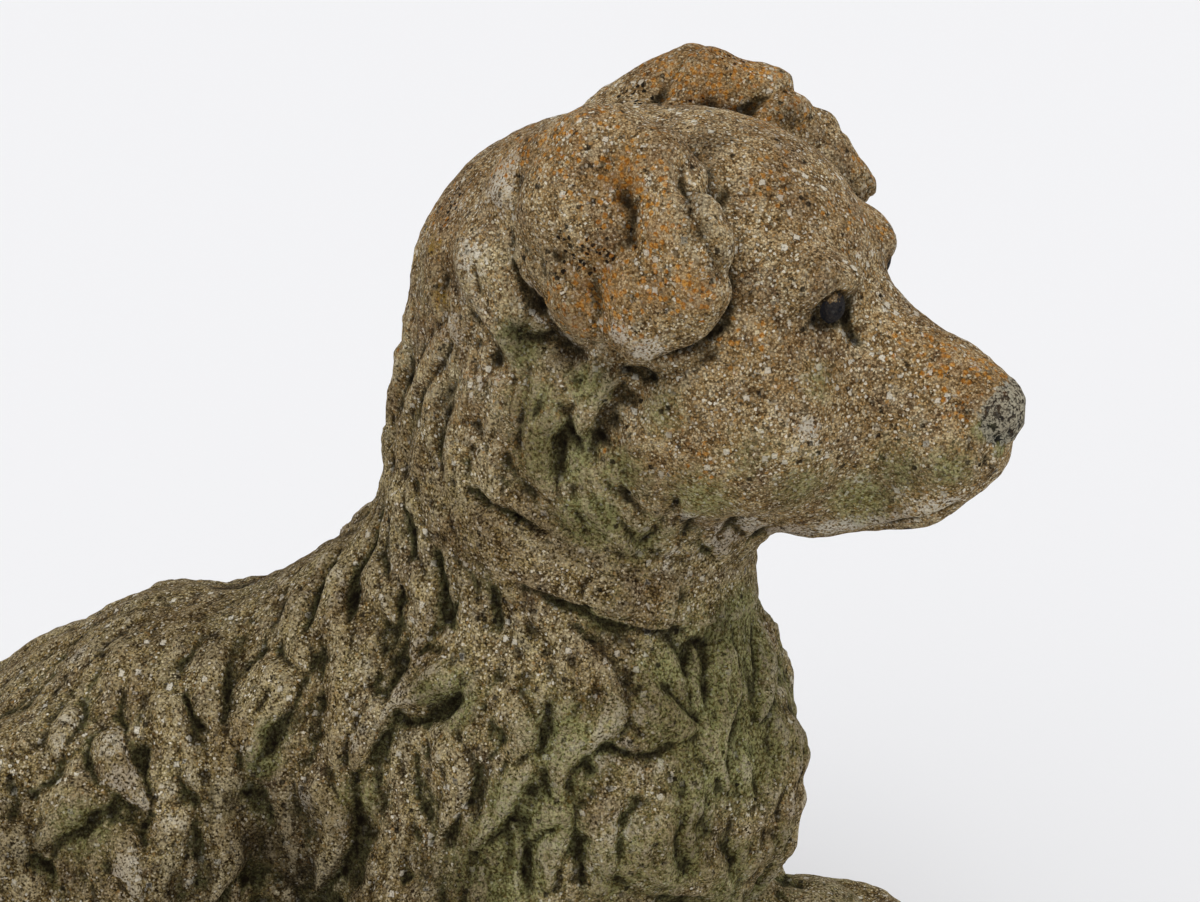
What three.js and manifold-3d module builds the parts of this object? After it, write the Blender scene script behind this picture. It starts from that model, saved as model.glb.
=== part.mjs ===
// A weathered garden statue: a collared terrier lying alert on a low slab, cast in stone in one piece.
// The dog faces +X and turns its head a little to its right (-Y). Millimetres, +Z up.
// The origin is the middle of the statue's length and width, on its underside.
//
// The dog is one smooth distance field: round limbs and muscles melted together, with locks of coat
// laid over them. A net of faces is drawn through the cells where the field changes sign, and the
// closed figure is then joined to the slab.

import * as THREE from "three";
import { mergeVertices } from "three/addons/utils/BufferGeometryUtils.js";
import Module from "manifold-3d";

// Driving dimensions
const DOG_HEIGHT = 339; // from the top of the slab to the fold of the ears
const HEAD_TURN = 12; // degrees, towards the dog's right
const SLAB_THICKNESS = 26;
const SLAB_MARGIN = 15; // slab beyond the rump, the paws and the feet
const SLAB_CORNER = 34; // radius of the slab's corners in plan
const SLAB_EDGE = 5; // worn chamfer round the slab's top and bottom edges
const COLLAR_WIDTH = 17;
const COLLAR_PROUD = 2.5; // how far the strap stands off the neck
const STRAP_END = 2.2; // thickness of the strap's end, where it lies over the rest
const LOCK_WIDTH = 28; // the broadest locks of the coat
const LOCK_LENGTH = 66;

// The dog's own forms are written at the height below, and follow DOG_HEIGHT as one figure.
const WRITTEN_HEIGHT = 339;
const FIGURE = DOG_HEIGHT / WRITTEN_HEIGHT;
const FIGURE_FACES = 7900; // how many faces the figure is worked out to

// Vectors, as plain arrays for speed
const plus = (a, b) => [a[0] + b[0], a[1] + b[1], a[2] + b[2]];
const minus = (a, b) => [a[0] - b[0], a[1] - b[1], a[2] - b[2]];
const times = (a, s) => [a[0] * s, a[1] * s, a[2] * s];
const dot = (a, b) => a[0] * b[0] + a[1] * b[1] + a[2] * b[2];
const size = (a) => Math.sqrt(dot(a, a));
const unit = (a) => times(a, 1 / size(a));
const cross = (a, b) => [a[1] * b[2] - a[2] * b[1], a[2] * b[0] - a[0] * b[2], a[0] * b[1] - a[1] * b[0]];
const mix = (a, b, t) => a + (b - a) * t;
const clamp = (x, low, high) => Math.min(high, Math.max(low, x));
const radians = THREE.MathUtils.degToRad;

// Forms of the distance field. Each returns a function from a point to its distance.

// An egg, turned by pitch (nose up, about Y) and yaw (about Z) in degrees.
function egg(centre, radii, pitch = 0, yaw = 0) {
  const turn = new THREE.Matrix4()
    .makeRotationZ(radians(yaw))
    .multiply(new THREE.Matrix4().makeRotationY(radians(-pitch)));
  const m = turn.elements; // column-major, so each column is one of the egg's own axes
  return (p) => {
    const q = minus(p, centre);
    let near = 0;
    let far = 0;
    for (let axis = 0; axis < 3; axis++) {
      const along = q[0] * m[axis * 4] + q[1] * m[axis * 4 + 1] + q[2] * m[axis * 4 + 2];
      near += (along / radii[axis]) ** 2;
      far += (along / radii[axis] ** 2) ** 2;
    }
    const k = Math.sqrt(near);
    return k < 1e-6 ? -Math.min(...radii) : (k * (k - 1)) / Math.sqrt(far);
  };
}

// A limb of round section that tapers from radius ra at a to rb at b. flat narrows it sideways.
function limb(a, ra, b, rb, flat = 1) {
  const start = [a[0], a[1] / flat, a[2]];
  const axis = minus([b[0], b[1] / flat, b[2]], start);
  const length2 = dot(axis, axis);
  return (p) => {
    const q = [p[0] - start[0], p[1] / flat - start[1], p[2] - start[2]];
    const t = clamp(dot(q, axis) / length2, 0, 1);
    return (size(minus(q, times(axis, t))) - mix(ra, rb, t)) * flat;
  };
}

// A bent limb: a chain of points and radii
function chain(...stops) {
  const parts = stops.slice(1).map(([b, rb], i) => limb(stops[i][0], stops[i][1], b, rb));
  return (p) => Math.min(...parts.map((part) => part(p)));
}

// Melts two distances into each other over the width k.
function melt(a, b, k) {
  const h = Math.max(k - Math.abs(a - b), 0) / k;
  return Math.min(a, b) - (h * h * k) / 4;
}

// Melts a list of [form, width] pairs into one form.
function meltAll(pieces) {
  return (p) => {
    let d = 1e3;
    for (const [form, k] of pieces) d = melt(d, form(p), k);
    return d;
  };
}

// A form made of the dog's left half, mirrored to the right.
const mirrored = (form) => (p) => form([p[0], Math.abs(p[1]), p[2]]);

// Trunk, from the brisket to the rump, as it rests on the slab
const trunk = meltAll([
  [limb([68, 0, 92], 65, [-56, 0, 79], 63, 0.9), 20],
  [limb([-56, 0, 79], 63, [-122, 0, 56], 53, 1), 20],
  [limb([52, 0, 30], 42, [-112, 0, 26], 44, 1.3), 24],
  [egg([95, 0, 100], [58, 54, 66]), 26],
  [egg([14, 0, 124], [50, 46, 50]), 24],
]);

// Neck and mane, up to the back of the skull
const neck = meltAll([
  [limb([66, 0, 126], 60, [78, 0, 206], 58, 0.88), 26],
  [limb([78, 0, 206], 58, [76, 0, 256], 52, 0.88), 20],
]);

// Forequarters: shoulder, upper arm, forearm on the slab and the paw
const foreleg = mirrored(
  meltAll([
    [egg([78, 44, 104], [44, 24, 60], -14), 20],
    [egg([50, 55, 50], [42, 26, 42]), 18],
    [limb([48, 58, 30], 27, [124, 47, 18], 19), 16],
    [egg([144, 46, 15], [31, 21, 16]), 9],
  ]),
);

// Hindquarters: thigh folded on the slab, stifle, hock and the long foot
const hindleg = mirrored(
  meltAll([
    [egg([-102, 48, 60], [60, 30, 52], 14), 20],
    [egg([-64, 60, 46], [32, 22, 36]), 16],
    [limb([-146, 68, 16], 17, [-64, 77, 13], 13), 12],
    [egg([-46, 77, 12], [24, 15, 14]), 8],
  ]),
);

const tail = meltAll([
  [limb([-160, 0, 40], 18, [-176, 32, 17], 15), 12],
  [limb([-176, 32, 16], 14, [-160, 74, 13], 12), 10],
  [limb([-160, 74, 13], 12, [-122, 94, 9], 7), 10],
]);

// Head, in its own frame: it looks along +X, and turns with the neck's axis below.
const NECK_AXIS = [80, 0];
const skull = meltAll([
  [egg([117, 0, 271], [64, 50, 57]), 14],
  [egg([80, 0, 264], [52, 50, 54]), 18],
  [mirrored(egg([136, 32, 240], [40, 23, 36])), 18],
  [limb([166, 0, 235], 37, [199, 0, 232.5], 24.5, 0.86), 18],
  [limb([178, 0, 257], 16, [215, 0, 241], 12), 12],
  [egg([205, 0, 229], [17, 18.5, 16]), 8],
  [limb([140, 0, 209], 21, [196, 0, 210], 13), 14],
  [mirrored(egg([163, 24, 285], [14, 13, 10])), 8],
]);
const nose = egg([220, 0, 241], [9.5, 12, 9.5], -20);
const eyes = mirrored(egg([172, 26, 277], [8, 7.5, 8.5]));
const eyeHollows = mirrored(chain([[182, 22, 278], 4], [[185, 23, 267], 3.5]));
const lipHollow = chain([[230.5, -8, 228], 5], [[230.5, 8, 228], 5]);

// Ears: a fold at the top of the skull, and a broad lobed flap that falls over the cheek. The left
// ear's front edge stands forward in a point, and the right one's is rounded and lies closer.
const earFoldTops = mirrored(chain([[82, 34, 309], 17], [[104, 42, 323], 16.5], [[126, 44, 320], 12]));
const leftEdge = chain([[126, 46, 319], 11], [[144, 54, 303], 8], [[154, 59, 291], 6.5]);
const rightEdge = chain([[124, -46, 320], 11], [[133, -53, 304], 8.5], [[141, -57, 288], 9.5]);
const earRoots = meltAll([
  [earFoldTops, 12],
  [leftEdge, 8],
  [rightEdge, 8],
]);
const earFlaps = mirrored(
  meltAll([
    [egg([101, 53, 298], [22, 12, 31], 8, 3), 8],
    [egg([135, 56, 293], [17, 11, 26], -10, 2), 7],
    [egg([122, 59, 281], [12, 10, 18]), 5],
  ]),
);
const earFolds = mirrored(chain([[116, 64, 316], 3], [[119, 71, 296], 3.6], [[111, 72, 270], 3.4]));
const lockBehindEar = mirrored(chain([[72, 36, 302], 11], [[66, 43, 286], 12], [[78, 49, 268], 9]));

// The crease that runs from below the ear down to the collar, behind the cheek
const cheekCrease = mirrored(chain([[120, 54, 254], 4], [[107, 55, 232], 6], [[104, 55, 206], 6], [[106, 52, 186], 5]));

function headAt(p) {
  const turn = radians(HEAD_TURN);
  const x = p[0] - NECK_AXIS[0];
  const y = p[1] - NECK_AXIS[1];
  const q = [
    NECK_AXIS[0] + x * Math.cos(turn) - y * Math.sin(turn),
    NECK_AXIS[1] + x * Math.sin(turn) + y * Math.cos(turn),
    p[2],
  ];
  let d = skull(q);
  d = -melt(-d, cheekCrease(q), 6);
  d = -melt(-d, eyeHollows(q), 4);
  d = melt(d, lockBehindEar(q), 4);
  d = melt(d, earRoots(q), 10);
  d = melt(d, earFlaps(q), 3);
  d = -melt(-d, earFolds(q), 3);
  d = melt(d, nose(q), 3);
  d = -melt(-d, lipHollow(q), 4);
  return melt(d, eyes(q), 1.5);
}

// The bare dog, before its coat and collar
const body = meltAll([
  [trunk, 20],
  [foreleg, 18],
  [hindleg, 18],
  [tail, 12],
  [neck, 26],
]);
const bareDog = (p) => melt(body(p), headAt(p), 20);

function slopeOf(form, p, step = 0.5) {
  const [x, y, z] = p;
  return unit([
    form([x + step, y, z]) - form([x - step, y, z]),
    form([x, y + step, z]) - form([x, y - step, z]),
    form([x, y, z + step]) - form([x, y, z - step]),
  ]);
}

// Moves a point onto the surface of a form.
function settle(form, p, rounds = 4) {
  for (let i = 0; i < rounds; i++) p = minus(p, times(slopeOf(form, p), form(p)));
  return p;
}

// A number from 0 to 1 that looks random but is always the same for the same seed
const chance = (seed) => {
  const x = Math.sin(seed * 127.1 + 11.7) * 43758.5453;
  return x - Math.floor(x);
};

// The coat lies down the neck and the chest, and backwards along the trunk.
function coatFlow(p, sway) {
  const back = clamp((40 - p[0]) / 100, 0, 1);
  return unit([-0.1 - 0.45 * back + sway, 0.1 * Math.sign(p[1]), -1]);
}

// One lock: a chain that swells, bends and ends in a tip, half sunk in the body
const locks = [];
function addLock(guess, scale) {
  const seed = locks.length + 1;
  const length = LOCK_LENGTH * scale * mix(0.85, 1.2, chance(seed));
  const width = LOCK_WIDTH * scale * mix(0.85, 1.15, chance(seed + 0.3));
  const bend = mix(0.5, 1, chance(seed + 0.7)) * (seed % 2 ? 1 : -1);
  const steps = 5;
  const beads = [];
  const root = settle(bareDog, guess);
  let p = root;
  for (let i = 0; i <= steps; i++) {
    const t = i / steps;
    const radius = (width / 2) * (0.5 + 0.55 * Math.sin(Math.PI * Math.min(1, 0.2 + t)) - 0.12 * t);
    beads.push([minus(p, times(slopeOf(bareDog, p), radius * mix(0.64, 0.26, t))), radius]);
    const along = coatFlow(p, bend * Math.sin(Math.PI * (0.2 + 1.5 * t)));
    p = settle(bareDog, plus(p, times(along, length / steps)), 2);
  }
  const middle = times(plus(root, p), 0.5);
  locks.push({ middle, reach: size(minus(p, root)) / 2 + width, form: chain(...beads) });
}

// Rows of locks round the neck and the chest
function ringOfLocks(z, x, reach, count, scale, from, to) {
  for (let i = 0; i < count; i++) {
    const seed = z + i * 3.7;
    const angle = radians(mix(from, to, (i + 0.4 * chance(seed)) / count));
    const height = z + 9 * (chance(seed + 0.5) - 0.5) - 0.28 * reach * Math.cos(angle);
    addLock([x + reach * Math.cos(angle), reach * Math.sin(angle), height], scale);
  }
}
ringOfLocks(270, 78, 52, 7, 0.66, 104, 256);
ringOfLocks(234, 78, 56, 9, 0.7, 78, 282);
ringOfLocks(168, 80, 62, 14, 0.72, -175, 185);
ringOfLocks(138, 82, 66, 13, 0.9, -165, 165);
ringOfLocks(98, 84, 70, 11, 1, -135, 135);
ringOfLocks(60, 84, 70, 9, 0.9, -115, 115);

// Rows of locks that arch over the trunk, and hang down its flanks and thighs
const FLANK_STATIONS = [32, -10, -52, -94, -134];
FLANK_STATIONS.forEach((x, row) => {
  for (const side of [-1, 1])
    for (let i = 0; i < 3; i++) {
      const angle = radians(22 + 31 * (i + (row % 2) / 2) + 8 * chance(x + i * side));
      addLock([x, side * 90 * Math.sin(angle), 40 + 90 * Math.cos(angle)], i ? 0.95 : 0.75);
    }
});

function dog(p) {
  const bare = bareDog(p);
  if (Math.abs(bare) > LOCK_WIDTH) return bare;
  let coat = 1e3;
  for (const { middle, reach, form } of locks)
    if (size(minus(p, middle)) < reach + LOCK_WIDTH) coat = melt(coat, form(p), 2);
  return melt(bare, coat, 4);
}

// The net of faces is drawn with cells that are finer round the head than along the body.
const SUNK = 8; // how far the figure reaches into the slab
const solidDog = (p) => Math.max(dog(p), -p[2] - SUNK);

function planes(first, ...stops) {
  const made = [first];
  for (const [end, cell] of stops) {
    const start = made[made.length - 1];
    const count = Math.max(1, Math.round((end - start) / cell));
    for (let j = 1; j <= count; j++) made.push(mix(start, end, j / count));
  }
  return made;
}
const COAT_REACH = 0.5 * LOCK_WIDTH; // room round the bare dog for its coat
const xs = planes(-192 - COAT_REACH, [110, 5.6], [230 + COAT_REACH, 4.4]);
const ys = planes(-100 - COAT_REACH, [-72, 6], [72, 5], [100 + COAT_REACH, 6]);
const zs = planes(-15, [190, 5.6], [338 + COAT_REACH, 4.6]);

const CORNERS = [0, 1, 2, 3, 4, 5, 6, 7].map((i) => [i & 1, (i >> 1) & 1, (i >> 2) & 1]);
const EDGES = [];
for (let i = 0; i < 8; i++) for (const bit of [1, 2, 4]) if (!(i & bit)) EDGES.push([i, i | bit]);

function netOf(form) {
  const [nx, ny, nz] = [xs.length, ys.length, zs.length];
  const at = (i, j, k) => (k * ny + j) * nx + i;
  const value = new Float64Array(nx * ny * nz);
  for (let k = 0; k < nz; k++)
    for (let j = 0; j < ny; j++) for (let i = 0; i < nx; i++) value[at(i, j, k)] = form([xs[i], ys[j], zs[k]]);

  // Each cell gets one vertex for each group of joined inside corners.
  const vertices = [];
  const cellVertex = new Map(); // cell index * 8 + inside corner -> vertex
  for (let k = 0; k < nz - 1; k++)
    for (let j = 0; j < ny - 1; j++)
      for (let i = 0; i < nx - 1; i++) {
        const values = CORNERS.map(([a, b, c]) => value[at(i + a, j + b, k + c)]);
        const inside = values.map((v) => v < 0);
        if (inside.every((x) => x) || !inside.some((x) => x)) continue;
        const group = [0, 1, 2, 3, 4, 5, 6, 7];
        for (let pass = 0; pass < 3; pass++)
          for (const [a, b] of EDGES)
            if (inside[a] && inside[b]) group[a] = group[b] = Math.min(group[a], group[b]);
        const sums = new Map();
        for (const [a, b] of EDGES) {
          if (inside[a] === inside[b]) continue;
          const t = values[a] / (values[a] - values[b]);
          const crossing = [xs, ys, zs].map((grid, axis) => {
            const cell = [i, j, k][axis];
            return mix(grid[cell + CORNERS[a][axis]], grid[cell + CORNERS[b][axis]], t);
          });
          const key = group[inside[a] ? a : b];
          const [sum, n] = sums.get(key) || [[0, 0, 0], 0];
          sums.set(key, [plus(sum, crossing), n + 1]);
        }
        for (const [key, [sum, n]] of sums) {
          for (let c = 0; c < 8; c++)
            if (inside[c] && group[c] === key) cellVertex.set(at(i, j, k) * 8 + c, vertices.length);
          vertices.push(times(sum, 1 / n));
        }
      }

  // Each grid edge that crosses the surface gets two triangles through the four cells round it.
  const triangles = [];
  const step = [
    [1, 0, 0],
    [0, 1, 0],
    [0, 0, 1],
  ];
  for (let k = 1; k < nz - 1; k++)
    for (let j = 1; j < ny - 1; j++)
      for (let i = 1; i < nx - 1; i++)
        for (let axis = 0; axis < 3; axis++) {
          const here = value[at(i, j, k)] < 0;
          const next = plus([i, j, k], step[axis]);
          if (here === value[at(...next)] < 0) continue;
          const [u, v] = [step[(axis + 1) % 3], step[(axis + 2) % 3]];
          const inner = here ? [i, j, k] : next;
          const ring = [[0, 0], [1, 0], [1, 1], [0, 1]].map(([a, b]) => {
            const cell = minus(minus([i, j, k], times(u, a)), times(v, b));
            const corner = minus(inner, cell);
            return cellVertex.get(at(...cell) * 8 + corner[0] + 2 * corner[1] + 4 * corner[2]);
          });
          if (!here) ring.reverse();
          const [a, b, c, d] = ring;
          const apart = (m, n) => size(minus(vertices[m], vertices[n]));
          if (apart(a, c) <= apart(b, d)) triangles.push([a, b, c], [a, c, d]);
          else triangles.push([b, c, d], [b, d, a]);
        }
  return { vertices, triangles };
}

// Folds away, one by one, the edges that shape the surface least, until few enough faces are left.
function thinned({ vertices, triangles }, most) {
  const points = vertices.map((p) => [...p]);
  const faces = triangles.map((t) => [...t]);
  const around = points.map(() => new Set());
  const quadrics = points.map(() => new Float64Array(10));
  const stamps = new Int32Array(points.length);
  const normalOf = (a, b, c) => cross(minus(b, a), minus(c, a));
  faces.forEach((face, f) => {
    const n = normalOf(...face.map((v) => points[v]));
    const area = size(n);
    const plane = [...times(n, 1 / area), -dot(n, points[face[0]]) / area];
    for (const v of face) {
      around[v].add(f);
      let m = 0;
      for (let i = 0; i < 4; i++)
        for (let j = i; j < 4; j++) quadrics[v][m++] += area * plane[i] * plane[j];
    }
  });

  // A heap of edges, cheapest first
  const heap = [];
  const push = (item) => {
    let i = heap.length;
    heap.push(item);
    while (i > 0) {
      const up = (i - 1) >> 1;
      if (heap[up].cost <= item.cost) break;
      heap[i] = heap[up];
      i = up;
    }
    heap[i] = item;
  };
  const pop = () => {
    const top = heap[0];
    const last = heap.pop();
    let i = 0;
    while (2 * i + 1 < heap.length) {
      let down = 2 * i + 1;
      if (down + 1 < heap.length && heap[down + 1].cost < heap[down].cost) down++;
      if (heap[down].cost >= last.cost) break;
      heap[i] = heap[down];
      i = down;
    }
    if (heap.length) heap[i] = last;
    return top;
  };
  const costAt = (q, [x, y, z]) =>
    x * (q[0] * x + 2 * (q[1] * y + q[2] * z + q[3])) +
    y * (q[4] * y + 2 * (q[5] * z + q[6])) +
    z * (q[7] * z + 2 * q[8]) +
    q[9];
  const offer = (a, b) => {
    const q = quadrics[a].map((x, i) => x + quadrics[b][i]);
    const middle = times(plus(points[a], points[b]), 0.5);
    const system = new THREE.Matrix3().set(q[0], q[1], q[2], q[1], q[4], q[5], q[2], q[5], q[7]);
    const length = size(minus(points[a], points[b]));
    let best = middle;
    if (Math.abs(system.determinant()) > 1e-3 * (q[0] + q[4] + q[7]) ** 3) {
      const exact = new THREE.Vector3(-q[3], -q[6], -q[8]).applyMatrix3(system.invert()).toArray();
      if (size(minus(exact, middle)) < length) best = exact;
    }
    push({ cost: costAt(q, best) + 1e-3 * length ** 4, a, b, best, stamp: stamps[a] + stamps[b] });
  };
  const neighbours = (v) => new Set([...around[v]].flatMap((f) => faces[f]).filter((n) => n !== v));
  const dead = new Uint8Array(points.length);
  points.forEach((_, v) => neighbours(v).forEach((n) => v < n && offer(v, n)));

  let left = faces.length;
  while (left > most && heap.length) {
    const { a, b, best, stamp } = pop();
    if (dead[a] || dead[b] || stamp !== stamps[a] + stamps[b]) continue;
    const nearB = neighbours(b);
    if ([...neighbours(a)].filter((n) => nearB.has(n)).length !== 2) continue;
    const moved = [...around[a], ...around[b]].filter((f) => !(around[a].has(f) && around[b].has(f)));
    const flips = moved.some((f) => {
      const before = normalOf(...faces[f].map((v) => points[v]));
      const after = normalOf(...faces[f].map((v) => (v === a || v === b ? best : points[v])));
      return dot(before, after) < 0.3 * size(before) * size(after) || size(after) < 0.5;
    });
    if (flips) continue;
    for (const f of around[b]) {
      if (around[a].has(f)) {
        for (const v of faces[f]) around[v].delete(f);
        faces[f] = null;
        left--;
      } else {
        faces[f] = faces[f].map((v) => (v === b ? a : v));
        around[a].add(f);
      }
    }
    points[a] = best;
    quadrics[b].forEach((x, i) => (quadrics[a][i] += x));
    dead[b] = 1;
    stamps[a]++;
    for (const n of neighbours(a)) offer(a, n);
  }
  return { vertices: points, triangles: faces.filter((f) => f) };
}

function geometryOf({ vertices, triangles }) {
  const geometry = new THREE.BufferGeometry();
  geometry.setAttribute("position", new THREE.Float32BufferAttribute(vertices.flat(), 3));
  geometry.setIndex(triangles.flat());
  return geometry;
}

const wasm = await Module();
wasm.setup();

function solidOf(geometry) {
  geometry.deleteAttribute("normal");
  geometry.deleteAttribute("uv");
  const merged = mergeVertices(geometry, 1e-4);
  return new wasm.Manifold(
    new wasm.Mesh({
      numProp: 3,
      vertProperties: new Float32Array(merged.attributes.position.array),
      triVerts: new Uint32Array(merged.index.array),
    }),
  );
}

// The outer skin of a solid, without the small bubbles that folds of the coat may close off inside
function geometryFrom(solid) {
  const { vertProperties, triVerts } = solid.getMesh();
  const skin = Array.from({ length: vertProperties.length / 3 }, (_, i) => i);
  const skinOf = (v) => {
    while (skin[v] !== v) v = skin[v] = skin[skin[v]];
    return v;
  };
  for (let i = 0; i < triVerts.length; i += 3) {
    skin[skinOf(triVerts[i + 1])] = skinOf(triVerts[i]);
    skin[skinOf(triVerts[i + 2])] = skinOf(triVerts[i]);
  }
  let lowest = 0; // the outer skin holds the statue's lowest vertex
  for (let v = 0; v < skin.length; v++) if (vertProperties[3 * v + 2] < vertProperties[3 * lowest + 2]) lowest = v;
  const outer = skinOf(lowest);
  const geometry = new THREE.BufferGeometry();
  geometry.setAttribute("position", new THREE.BufferAttribute(vertProperties, 3));
  geometry.setIndex([...triVerts].filter((_, i) => skinOf(triVerts[i - (i % 3)]) === outer));
  return geometry;
}

// The collar: a strap round the neck, lower at the throat. It runs from one angle to another,
// seen from above, and its ends are rounded where it doesn't close on itself.
const COLLAR_CENTRE = [80, 0, 184];
const COLLAR_TILT = radians(18);
const collarUp = [Math.sin(COLLAR_TILT), 0, Math.cos(COLLAR_TILT)];
const collarAhead = [Math.cos(COLLAR_TILT), 0, -Math.sin(COLLAR_TILT)];
function neckReach(out) {
  let reach = 40;
  for (let i = 0; i < 12; i++) reach -= bareDog(plus(COLLAR_CENTRE, times(out, reach)));
  return reach;
}
function strap(from, to, steps, inner, outer) {
  const closed = to - from >= 360;
  const half = COLLAR_WIDTH / 2 / FIGURE;
  const vertices = [];
  const triangles = [];
  const rings = closed ? steps : steps + 1;
  for (let i = 0; i < rings; i++) {
    const angle = radians(mix(from, to, i / steps));
    const out = plus(times(collarAhead, Math.cos(angle)), [0, Math.sin(angle), 0]);
    const reach = neckReach(out);
    const fromEnd = closed ? 1 : Math.min(1, Math.min(i, steps - i) / 3);
    const width = half * Math.sqrt(1 - (1 - fromEnd) ** 2 * 0.75);
    const section = [[inner, -width], [outer - 1.2, -width], [outer, -width + 2], [outer, width - 2], [outer - 1.2, width], [inner, width]];
    for (const [off, up] of section)
      vertices.push(plus(COLLAR_CENTRE, plus(times(out, reach + off), times(collarUp, up))));
  }
  const corners = 6;
  for (let i = 0; i < steps; i++)
    for (let c = 0; c < corners; c++) {
      const a = i * corners + c;
      const b = i * corners + ((c + 1) % corners);
      const next = (n) => (n + corners) % (rings * corners);
      triangles.push([a, next(a), b], [b, next(a), next(b)]);
    }
  if (!closed)
    for (let c = 1; c < corners - 1; c++) {
      const end = (rings - 1) * corners;
      triangles.push([0, c, c + 1], [end, end + c + 1, end + c]);
    }
  return { vertices, triangles };
}

function slabGeometry(box) {
  const centre = box.getCenter(new THREE.Vector3());
  const half = box.getSize(new THREE.Vector3()).multiplyScalar(0.5).addScalar(SLAB_MARGIN - SLAB_EDGE);
  const corner = SLAB_CORNER - SLAB_EDGE;
  const outline = new THREE.Shape();
  outline.absarc(half.x - corner, -half.y + corner, corner, -Math.PI / 2, 0);
  outline.absarc(half.x - corner, half.y - corner, corner, 0, Math.PI / 2);
  outline.absarc(-half.x + corner, half.y - corner, corner, Math.PI / 2, Math.PI);
  outline.absarc(-half.x + corner, -half.y + corner, corner, Math.PI, 1.5 * Math.PI);
  const slab = new THREE.ExtrudeGeometry(outline, {
    depth: SLAB_THICKNESS - 2 * SLAB_EDGE,
    bevelThickness: SLAB_EDGE,
    bevelSize: SLAB_EDGE,
    bevelSegments: 2,
    curveSegments: 8,
  });
  return slab.translate(centre.x, centre.y, SLAB_EDGE);
}

// The figure stands on the slab, which reaches a margin beyond everything that touches it.
const net = netOf(solidDog);
const place = (made) => geometryOf(made).scale(FIGURE, FIGURE, FIGURE).translate(0, 0, SLAB_THICKNESS);
const proud = COLLAR_PROUD / FIGURE;
const figure = solidOf(place(thinned(net, FIGURE_FACES)))
  .add(solidOf(place(strap(0, 360, 36, -9, proud))))
  .add(solidOf(place(strap(-80, 10, 12, -6, proud + STRAP_END / FIGURE))));
const LOW = 30; // what lies lower than this counts as touching the slab
const footprint = new THREE.Box3();
for (const p of net.vertices) if (p[2] < LOW) footprint.expandByPoint(new THREE.Vector3(...times(p, FIGURE)));
const statue = solidOf(slabGeometry(footprint)).add(figure);

// The origin is the middle of the whole statue's length and width, on its underside.
const geometry = geometryFrom(statue);
geometry.computeBoundingBox();
const middle = geometry.boundingBox.getCenter(new THREE.Vector3());
geometry.translate(-middle.x, -middle.y, 0);
geometry.computeVertexNormals();

const weatheredStone = new THREE.MeshStandardMaterial({ color: 0x7d7358, roughness: 0.95, metalness: 0 });
const terrier = new THREE.Mesh(geometry, weatheredStone);
terrier.name = "terrier";

const root = new THREE.Group();
root.add(terrier);

export default root;
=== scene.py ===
# A weathered garden statue: a collared terrier lying alert on a low slab, cast in stone in one piece.
# The casting keeps the form of its solid. Its coat, face and pitted skin are carved into the mesh here.

import math

import bmesh
import bpy
import numpy as np
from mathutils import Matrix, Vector
from mathutils.bvhtree import BVHTree


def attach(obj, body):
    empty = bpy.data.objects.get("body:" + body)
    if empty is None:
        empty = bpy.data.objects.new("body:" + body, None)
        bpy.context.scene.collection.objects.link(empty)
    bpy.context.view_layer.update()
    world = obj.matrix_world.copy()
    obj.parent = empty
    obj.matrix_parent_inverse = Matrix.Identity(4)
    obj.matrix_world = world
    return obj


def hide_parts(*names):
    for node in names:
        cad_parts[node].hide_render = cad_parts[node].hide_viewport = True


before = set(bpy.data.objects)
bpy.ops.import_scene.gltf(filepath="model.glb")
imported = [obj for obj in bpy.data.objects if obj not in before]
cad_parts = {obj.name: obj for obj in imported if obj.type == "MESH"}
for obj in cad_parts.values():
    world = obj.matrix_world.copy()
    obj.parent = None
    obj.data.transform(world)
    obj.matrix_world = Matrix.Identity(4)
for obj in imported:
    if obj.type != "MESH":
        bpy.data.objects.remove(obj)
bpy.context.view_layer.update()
scene = bpy.context.scene
chance = np.random.default_rng(11)

# The figure is worked out in millimetres, with z 0 on top of the slab. SHIFT leads to it from the frame.
SHIFT = np.array([9.663, 3.453, -26.0])
STONE_LOW = np.array([-216.8, -111.5, 0]) + SHIFT  # the carved stone keeps within the solid's box
STONE_HIGH = np.array([216.8, 111.5, 364.8]) + SHIFT
HEAD_TURN = math.radians(12)
NECK_X = 80.0

# Camera: at the photograph's height and side
CAMERA_AIM = Vector((0.0753, -0.0045, 0.234))
CAMERA_DISTANCE = 1.2
CAMERA_LENS = 108
SENSOR_WIDTH = 36
FRAME_WIDTH = 1200
FRAME_HEIGHT = 902
CAMERA_SIDE = math.radians(10)
CAMERA_RISE = math.radians(20)
camera_back = Vector(
    (
        math.sin(CAMERA_SIDE) * math.cos(CAMERA_RISE),
        -math.cos(CAMERA_SIDE) * math.cos(CAMERA_RISE),
        math.sin(CAMERA_RISE),
    )
)
camera_place = CAMERA_AIM + CAMERA_DISTANCE * camera_back


# Forms of the figure, as distances in millimetres from an array of points
def smooth_min(a, b, k):
    h = np.maximum(k - np.abs(a - b), 0) / k
    return np.minimum(a, b) - h * h * k / 4


def smooth_max(a, b, k):
    return -smooth_min(-a, -b, k)


def egg(centre, radii, pitch=0.0, yaw=0.0):
    a = math.radians(yaw)
    b = math.radians(-pitch)
    about_z = np.array([[math.cos(a), -math.sin(a), 0], [math.sin(a), math.cos(a), 0], [0, 0, 1]])
    about_y = np.array([[math.cos(b), 0, math.sin(b)], [0, 1, 0], [-math.sin(b), 0, math.cos(b)]])
    turn = about_z @ about_y
    centre = np.array(centre, float)
    radii = np.array(radii, float)

    def form(p):
        q = (p - centre) @ turn
        near = np.sqrt(((q / radii) ** 2).sum(-1)) + 1e-9
        far = np.sqrt(((q / radii**2) ** 2).sum(-1)) + 1e-9
        return near * (near - 1) / far

    return form


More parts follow.
